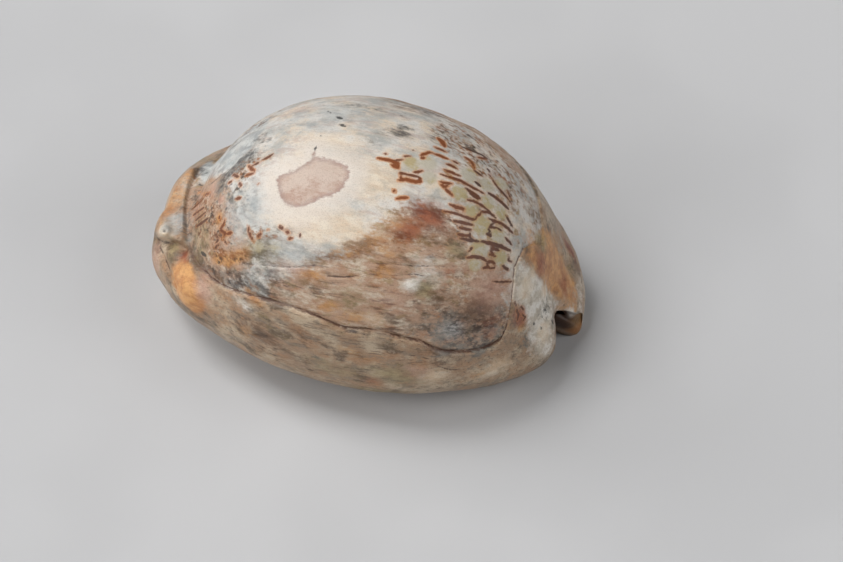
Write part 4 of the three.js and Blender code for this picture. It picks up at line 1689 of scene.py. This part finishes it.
CALLUS = Ground(pigment(168, 140, 114), (
    Layer(CALLUS_WARM, 0.9, (-0.08, 0.16), CALLUS_WARM_BLEND),
    Layer(CALLUS_PALE, 0.95, (-0.07, 0.16), CALLUS_PALE_BLEND),
    Layer(pigment(142, 124, 90), 0.75, (-0.14, -0.28), CALLUS_OLIVE_BLEND),
    Layer(pigment(146, 131, 114), 0.75, (0.02, 0.14), ((Noise.DAB_A, 1), (Noise.STREAK_A, 0.4))),
    Layer(CALLUS_DARK, 0.85, (0.02, 0.18), CALLUS_DARK_BLEND),
    Layer(CALLUS_DARK, 0.65, (0.05, 0.18), ((Noise.HAIR, 1),)),
    Layer(CALLUS_PALE, 0.4, (0.04, 0.18), ((Noise.FINE, 1), (Noise.STREAK_B, 0.4))),
))

BASE = Ground(pigment(222, 204, 180), (
    Layer(CALLUS_WARM, 0.5, (-0.02, 0.12), ((Noise.CLOUD_A, 1), (Noise.STREAK_A, 0.5))),
))

HOLLOW = Ground(pigment(226, 214, 214), (
    Layer(pigment(176, 158, 164), 1.0, (-0.1, 0.12), ((Noise.CLOUD_C, 1),)),
))

WORN = Ground(pigment(204, 183, 168), (
    Layer(pigment(180, 146, 128), 1.0, (-0.1, 0.16), ((Noise.CLOUD_C, 1), (Noise.FINE, 0.4))),
))

RINGS = Ground(pigment(196, 188, 170), (
    Layer(pigment(186, 170, 128), 1.0, (-0.04, 0.08), ((Noise.CLOUD_A, 1), (Noise.FINE, 0.3))),
))

WORN_EDGE: Blend = ((Noise.FINE, 1.3), (Noise.DAB_A, 0.8))
INK_EDGE: Blend = ((Noise.FINE, 0.5), (Noise.GRAIN, 0.24))

TONE_FINISHES: Mapping[Tone, ToneFinish] = {
    Tone.BLUE_GREY: ToneFinish(pigment(198, 201, 199), pigment(158, 164, 166), 0.8, 0.75),
    Tone.CREAM: ToneFinish(pigment(240, 224, 200), pigment(226, 200, 168), 0.7, 0.75),
    Tone.OLIVE: ToneFinish(pigment(172, 156, 118), pigment(116, 102, 74), 0.8, 0.8),
    Tone.PINK: ToneFinish(pigment(210, 172, 152), pigment(182, 140, 122), 0.7, 0.75),
    Tone.OCHRE: ToneFinish(pigment(204, 150, 90), pigment(156, 104, 54), 1.1, 0.85),
    Tone.UMBER: ToneFinish(pigment(128, 96, 72), pigment(84, 62, 48), 1.0, 0.85),
    Tone.RUST: ToneFinish(pigment(166, 96, 66), pigment(118, 60, 42), 0.6, 0.88),
    Tone.SLATE: ToneFinish(pigment(136, 132, 124), pigment(58, 58, 60), 1.7, 0.85),
    Tone.ORANGE: ToneFinish(pigment(224, 168, 108), pigment(196, 134, 80), 0.9, 0.9),
    Tone.WHITE: ToneFinish(pigment(244, 240, 232), pigment(206, 196, 180), 0.9, 0.9),
    Tone.FLECK: ToneFinish(pigment(152, 96, 52), pigment(52, 42, 38), 3.2, 0.88),
}


@dataclass(frozen=True)
class ShellFinish:
    """The shell's colours, worn and stained, with some painted shade, from the ground up.

    A span is the pair of values that something fades in between: millimetres from a mark's edge, past the
    lap, along, across or above the base, or a strength from 0 to 1.
    """

    callus_span: Span = (-0.05, 0.3)
    weathered_edge: float = 0.9
    weathered_noise: int = 2
    weathered_span: Span = (0.3, 0.62)
    weathered_least: Span = (0.02, 0.2)
    own_blend: Span = (0.7, 0.3)
    own_span: Span = (0.42, 0.58)
    tone_span: Span = (0.12, 0.9)
    tone_least: Span = (0.03, 0.25)
    grain: Colour = pigment(204, 198, 192)
    grain_cover: float = 0.5
    grain_span: Span = (0.52, 0.3)
    halo: Layer = Layer(pigment(226, 215, 203), 0.8, (-4.2, -1.0))
    halo_edge: float = 3.0
    halo_noise: int = 1
    worn: Layer = Layer(WORN.colour, 0.92, (-0.2, 0.24), WORN_EDGE)
    worn_rim: Layer = Layer(pigment(146, 118, 114), 0.6, (0.9, 0.0), WORN_EDGE)
    ring_cover: float = 0.92
    ink: Layer = Layer(pigment(74, 46, 38), 0.94, (0.1, -0.07), INK_EDGE)
    ink_warm: Colour = pigment(132, 68, 30)
    ink_warm_blend: Blend = ((Noise.DAB_C, 1.2),)
    ink_halo: Layer = Layer(pigment(208, 138, 78), 1.0, (0.34, 0.08), INK_EDGE)
    ink_halo_cover: Span = (0.1, 0.65)
    # The lap's dark line: partly the shell's own brown, partly painted shade in the lap's groove.
    seam: Layer = Layer(pigment(86, 54, 40), 0.9, (0.32, 0.04))
    seam_blend: Blend = ((Noise.FINE, 0.9),)
    seam_breaks: Span = (0.33, 0.52)
    seam_loss: float = 0.85
    seam_loss_aside: Span = (-5.0, -1.0)
    seam_loss_along: Span = (10.0, 20.0)
    seam_start_along: Span = (-29.0, -23.0)
    crack: Layer = Layer(pigment(58, 44, 40), 0.8, (0.06, -0.06), ((Noise.FINE, 0.3),))
    crack_breaks: Span = (0.38, 0.54)
    speck: Layer = Layer(pigment(44, 44, 46), 0.85, (0.12, -0.06), ((Noise.FINE, 0.5),))
    base: Layer = Layer(BASE.colour, 0.8, (44.0, 54.0), ((Noise.CLOUD_B, 10.0),))
    between_teeth: Layer = Layer(pigment(170, 132, 98), 0.8, (52.0, 60.0))
    # Painted shade: the canals are dark brown deep inside and turn lighter towards their mouths.
    canal: Colour = pigment(70, 44, 26)
    canal_along: Span = (24.0, 30.0)
    canal_mouth: Layer = Layer(pigment(136, 102, 62), 1.0, (33.0, 35.4), ((Noise.DAB_B, 2.0),))
    canal_roof: Layer = Layer(WHITE, 0.8, (4.6, 6.0), ((Noise.DAB_C, 1.5),))
    canal_roof_along: Span = (33.0, 34.4)
    canal_floor: Layer = Layer(pigment(178, 120, 70), 0.7, (3.2, 1.6))
    canal_floor_along: Span = (31.5, 33.5)
    inside_span: Span = (0.15, 0.6)
    chalk_span: Span = (0.4, 0.7)
    roughness: float = 0.5
    roughness_blend: Blend = ((Noise.CLOUD_A, 0.25), (Noise.FINE, 0.2))
    chalk_roughness: float = 0.2
    callus_gloss: float = 0.1
    relief: Blend = ((Noise.FINE, 0.6), (Noise.GRAIN, 0.2), (Noise.DAB_B, 0.6))
    hair_relief: float = 0.5
    hair_on_back: float = 0.3
    relief_strength: float = 0.5
    relief_height: float = 0.2
    refraction: float = 1.5
    shine: float = 0.4

    def material(self) -> bpy.types.Material:
        """Builds the shell's material.

        Returns:
            The ground of the back, its weathered part, the callus, the stains (some of them painted shade
            under the lap, in folds and in the canals), the worn patch, the dashes, the cracks, the base and
            the inside, laid one over the other, with roughness and a fine grain to match.
        """
        graph = Graph("worn_shell")
        mottle = Mottle(graph)
        tones = {tone: graph.attribute(tone.value) for tone in Tone}
        callus = graph.attribute("past_lap").ease(*self.callus_span)
        tan = tones[Tone.TAN]
        weathered = (tan + self.weathered_edge * mottle.edge(self.weathered_noise)).ease(*self.weathered_span)
        colour = BACK.laid(mottle)
        colour = graph.mix(colour, WEATHERED.laid(mottle), weathered * tan.ease(*self.weathered_least))
        colour = graph.mix(colour, CALLUS.laid(mottle), callus)
        for number, tone in enumerate(Tone):
            if tone in TONE_FINISHES:
                colour = self._stained(colour, mottle, TONE_FINISHES[tone], tones[tone], number)
        colour = self._worn(colour, mottle)
        colour = self._inked(colour, mottle)
        colour = self._base_and_inside(colour, mottle)
        grain = mottle.fields[Noise.GRAIN].ease(*self.grain_span)
        colour = graph.shade(colour, self.grain, self.grain_cover * grain)
        chalk = (tones[Tone.WHITE] + mottle.edge()).ease(*self.chalk_span)
        rough = self.roughness + mottle.about(*self.roughness_blend)
        rough = rough + self.chalk_roughness * chalk - self.callus_gloss * callus
        hair = self.hair_relief * mottle.fields[Noise.HAIR] * (self.hair_on_back + callus)
        bump = graph.node("ShaderNodeBump", {}, {
            "Strength": self.relief_strength, "Distance": self.relief_height * MM,
            "Height": mottle.about(*self.relief) + hair})
        graph.dress({"Base Color": colour, "Roughness": rough, "Normal": bump.outputs[0],
                     "IOR": self.refraction, "Specular IOR Level": self.shine})
        return graph.material

    def _stained(self, colour: Socket, mottle: Mottle, finish: ToneFinish, strength: Field,
                 number: int) -> Socket:
        """Lays one tone over what is there, with an edge that the noise breaks up."""
        dab, streak = DABS[number % len(DABS)], STREAKS[number % len(STREAKS)]
        by_dab, by_streak = self.own_blend
        spread = by_dab * mottle.fields[dab] + by_streak * mottle.fields[streak]
        own = mottle.graph.mix(finish.light, finish.dark, spread.ease(*self.own_span))
        broken = (strength + finish.ragged * mottle.edge(number + 1)).ease(*self.tone_span)
        return mottle.graph.mix(colour, own, finish.cover * broken * strength.ease(*self.tone_least))

    def _worn(self, colour: Socket, mottle: Mottle) -> Socket:
        """Lays the worn mauve patch, with a darker edge and a chalky halo round it."""
        within = mottle.graph.attribute("worn")
        colour = self.halo.over(colour, mottle, within + self.halo_edge * mottle.edge(self.halo_noise))
        own = self.worn_rim.over(WORN.laid(mottle), mottle, within)
        return self.worn.over(colour, mottle, within, own=own)

    def _inked(self, colour: Socket, mottle: Mottle) -> Socket:
        """Lays the pale rings, the dashes and their warm edges, the lap's dark line (partly painted shade in
        its groove), the cracks and the specks.
        """
        graph = mottle.graph
        colour = graph.mix(colour, RINGS.laid(mottle), self.ring_cover * graph.attribute("ring"))
        ink, warmth = graph.attribute("ink"), graph.attribute("ink_warmth")
        least, by_warmth = self.ink_halo_cover
        colour = self.ink_halo.over(colour, mottle, ink, least + by_warmth * warmth)
        own = graph.mix(self.ink.colour, self.ink_warm, warmth + mottle.about(*self.ink_warm_blend))
        colour = self.ink.over(colour, mottle, ink, own=own)
        # The lap's line: brown that is partly its own and partly painted shade in the groove.
        from_lap = abs(graph.attribute("past_lap") + mottle.about(*self.seam_blend))
        front = graph.aside.ease(*self.seam_loss_aside) * graph.along.ease(*self.seam_loss_along)
        left = (1 - self.seam_loss * front) * graph.along.ease(*self.seam_start_along)
        broken = mottle.fields[Noise.STREAK_B].ease(*self.seam_breaks)
        colour = self.seam.over(colour, mottle, from_lap, left * broken)
        broken = mottle.fields[Noise.DAB_D].ease(*self.crack_breaks)
        colour = self.crack.over(colour, mottle, graph.attribute("crack"), broken)
        return self.speck.over(colour, mottle, graph.attribute("speck"))

    def _base_and_inside(self, colour: Socket, mottle: Mottle) -> Socket:
        """Lays the paler base round the slit, the brown between the teeth, the canals with painted shade deep
        in them, and the inside.
        """
        graph = mottle.graph
        across, along = abs(graph.attribute("chart_across")), abs(graph.along)
        colour = self.base.over(colour, mottle, across, own=BASE.laid(mottle))
        colour = self.between_teeth.over(colour, mottle, across, 1 - graph.attribute("tooth"))
        # Painted shade: dark deep in the canals, lighter at their mouths.
        canal = self.canal_mouth.over(self.canal, mottle, along)
        canal = self.canal_roof.over(canal, mottle, graph.upward, graph.along.ease(*self.canal_roof_along))
        canal = self.canal_floor.over(canal, mottle, graph.upward, along.ease(*self.canal_floor_along))
        hollow = graph.mix(HOLLOW.laid(mottle), canal, along.ease(*self.canal_along))
        return graph.mix(colour, hollow, graph.attribute("inside").ease(*self.inside_span))


@dataclass(frozen=True)
class FloorFinish:
    """The pale, even floor."""

    light: Colour = pigment(200, 200, 201)
    dark: Colour = pigment(196, 196, 197)
    cloud_scale: float = 0.02
    cloud_detail: float = 2.0
    cloud_span: Span = (0.4, 0.6)
    roughness: float = 0.8
    shine: float = 0.2

    def material(self) -> bpy.types.Material:
        """Builds the floor's material: one grey, very slightly uneven."""
        graph = Graph("pale_floor")
        clouds = graph.noise(self.cloud_scale, self.cloud_detail).ease(*self.cloud_span)
        graph.dress({"Base Color": graph.mix(self.light, self.dark, clouds), "Roughness": self.roughness,
                     "Specular IOR Level": self.shine})
        return graph.material


@dataclass(frozen=True)
class SoftLight:
    """One soft box: where it stands and how wide it is, in metres, and its power in watts."""

    name: str
    at: tuple[float, float, float]
    width: float
    power: float
    aim: tuple[float, float, float] = (0.0, 0.0, 0.015)

    def make(self) -> bpy.types.Object:
        """Makes the light, aimed at the shell."""
        data = bpy.data.lights.new(self.name, "AREA")
        data.size, data.energy = self.width, self.power
        light = bpy.data.objects.new(self.name, data)
        light.location = self.at
        light.rotation_euler = (Vector(self.aim) - Vector(self.at)).to_track_quat("-Z", "Y").to_euler()
        bpy.context.scene.collection.objects.link(light)
        return light


@dataclass(frozen=True)
class Studio:
    """The floor, the lights and the air round the shell."""

    floor_width: float = 6.0
    air: Colour = (0.02, 0.02, 0.0203, 1.0)
    lights: tuple[SoftLight, ...] = (
        SoftLight("overhead", (-1.0, 0.2, 2.2), 1.0, 25.0),
        SoftLight("near_left", (-1.4, -1.4, 1.4), 1.6, 31.0),
        SoftLight("far_left", (-2.4, 0.6, 1.8), 1.8, 28.5),
        SoftLight("right_fill", (2.0, 0.0, 1.6), 1.6, 21.5),
    )

    def build(self) -> bpy.types.Object:
        """Makes the floor, the lights and the world.

        Returns:
            The floor.
        """
        half = self.floor_width / 2
        corners = [(-half, -half, 0), (half, -half, 0), (half, half, 0), (-half, half, 0)]
        mesh = bpy.data.meshes.new("floor")
        mesh.from_pydata(corners, [], [range(len(corners))])
        mesh.materials.append(FloorFinish().material())
        floor = bpy.data.objects.new("floor", mesh)
        bpy.context.scene.collection.objects.link(floor)
        for light in self.lights:
            light.make()
        world = bpy.data.worlds.new("studio_air")
        world.use_nodes = True
        world.node_tree.nodes["Background"].inputs["Color"].default_value = self.air
        bpy.context.scene.world = world
        bpy.context.scene.view_settings.view_transform = "Standard"
        return floor


def main() -> None:
    """Builds the view, the studio and the shell, and reports each."""
    logging.basicConfig(level=logging.INFO, format="%(name)s: %(message)s")
    view = PhotoView()
    LOG.info("camera: %s", view.make_camera().name)
    floor = Studio().build()
    LOG.info("stage: %s", floor.name)
    shell = CowrieShell(ShellForm(), view).build()
    shell.data.materials.append(ShellFinish().material())
    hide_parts("shell")
    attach(shell, "root")
    LOG.info("piece: %s", shell.name)


if __name__ == "__main__":
    main()
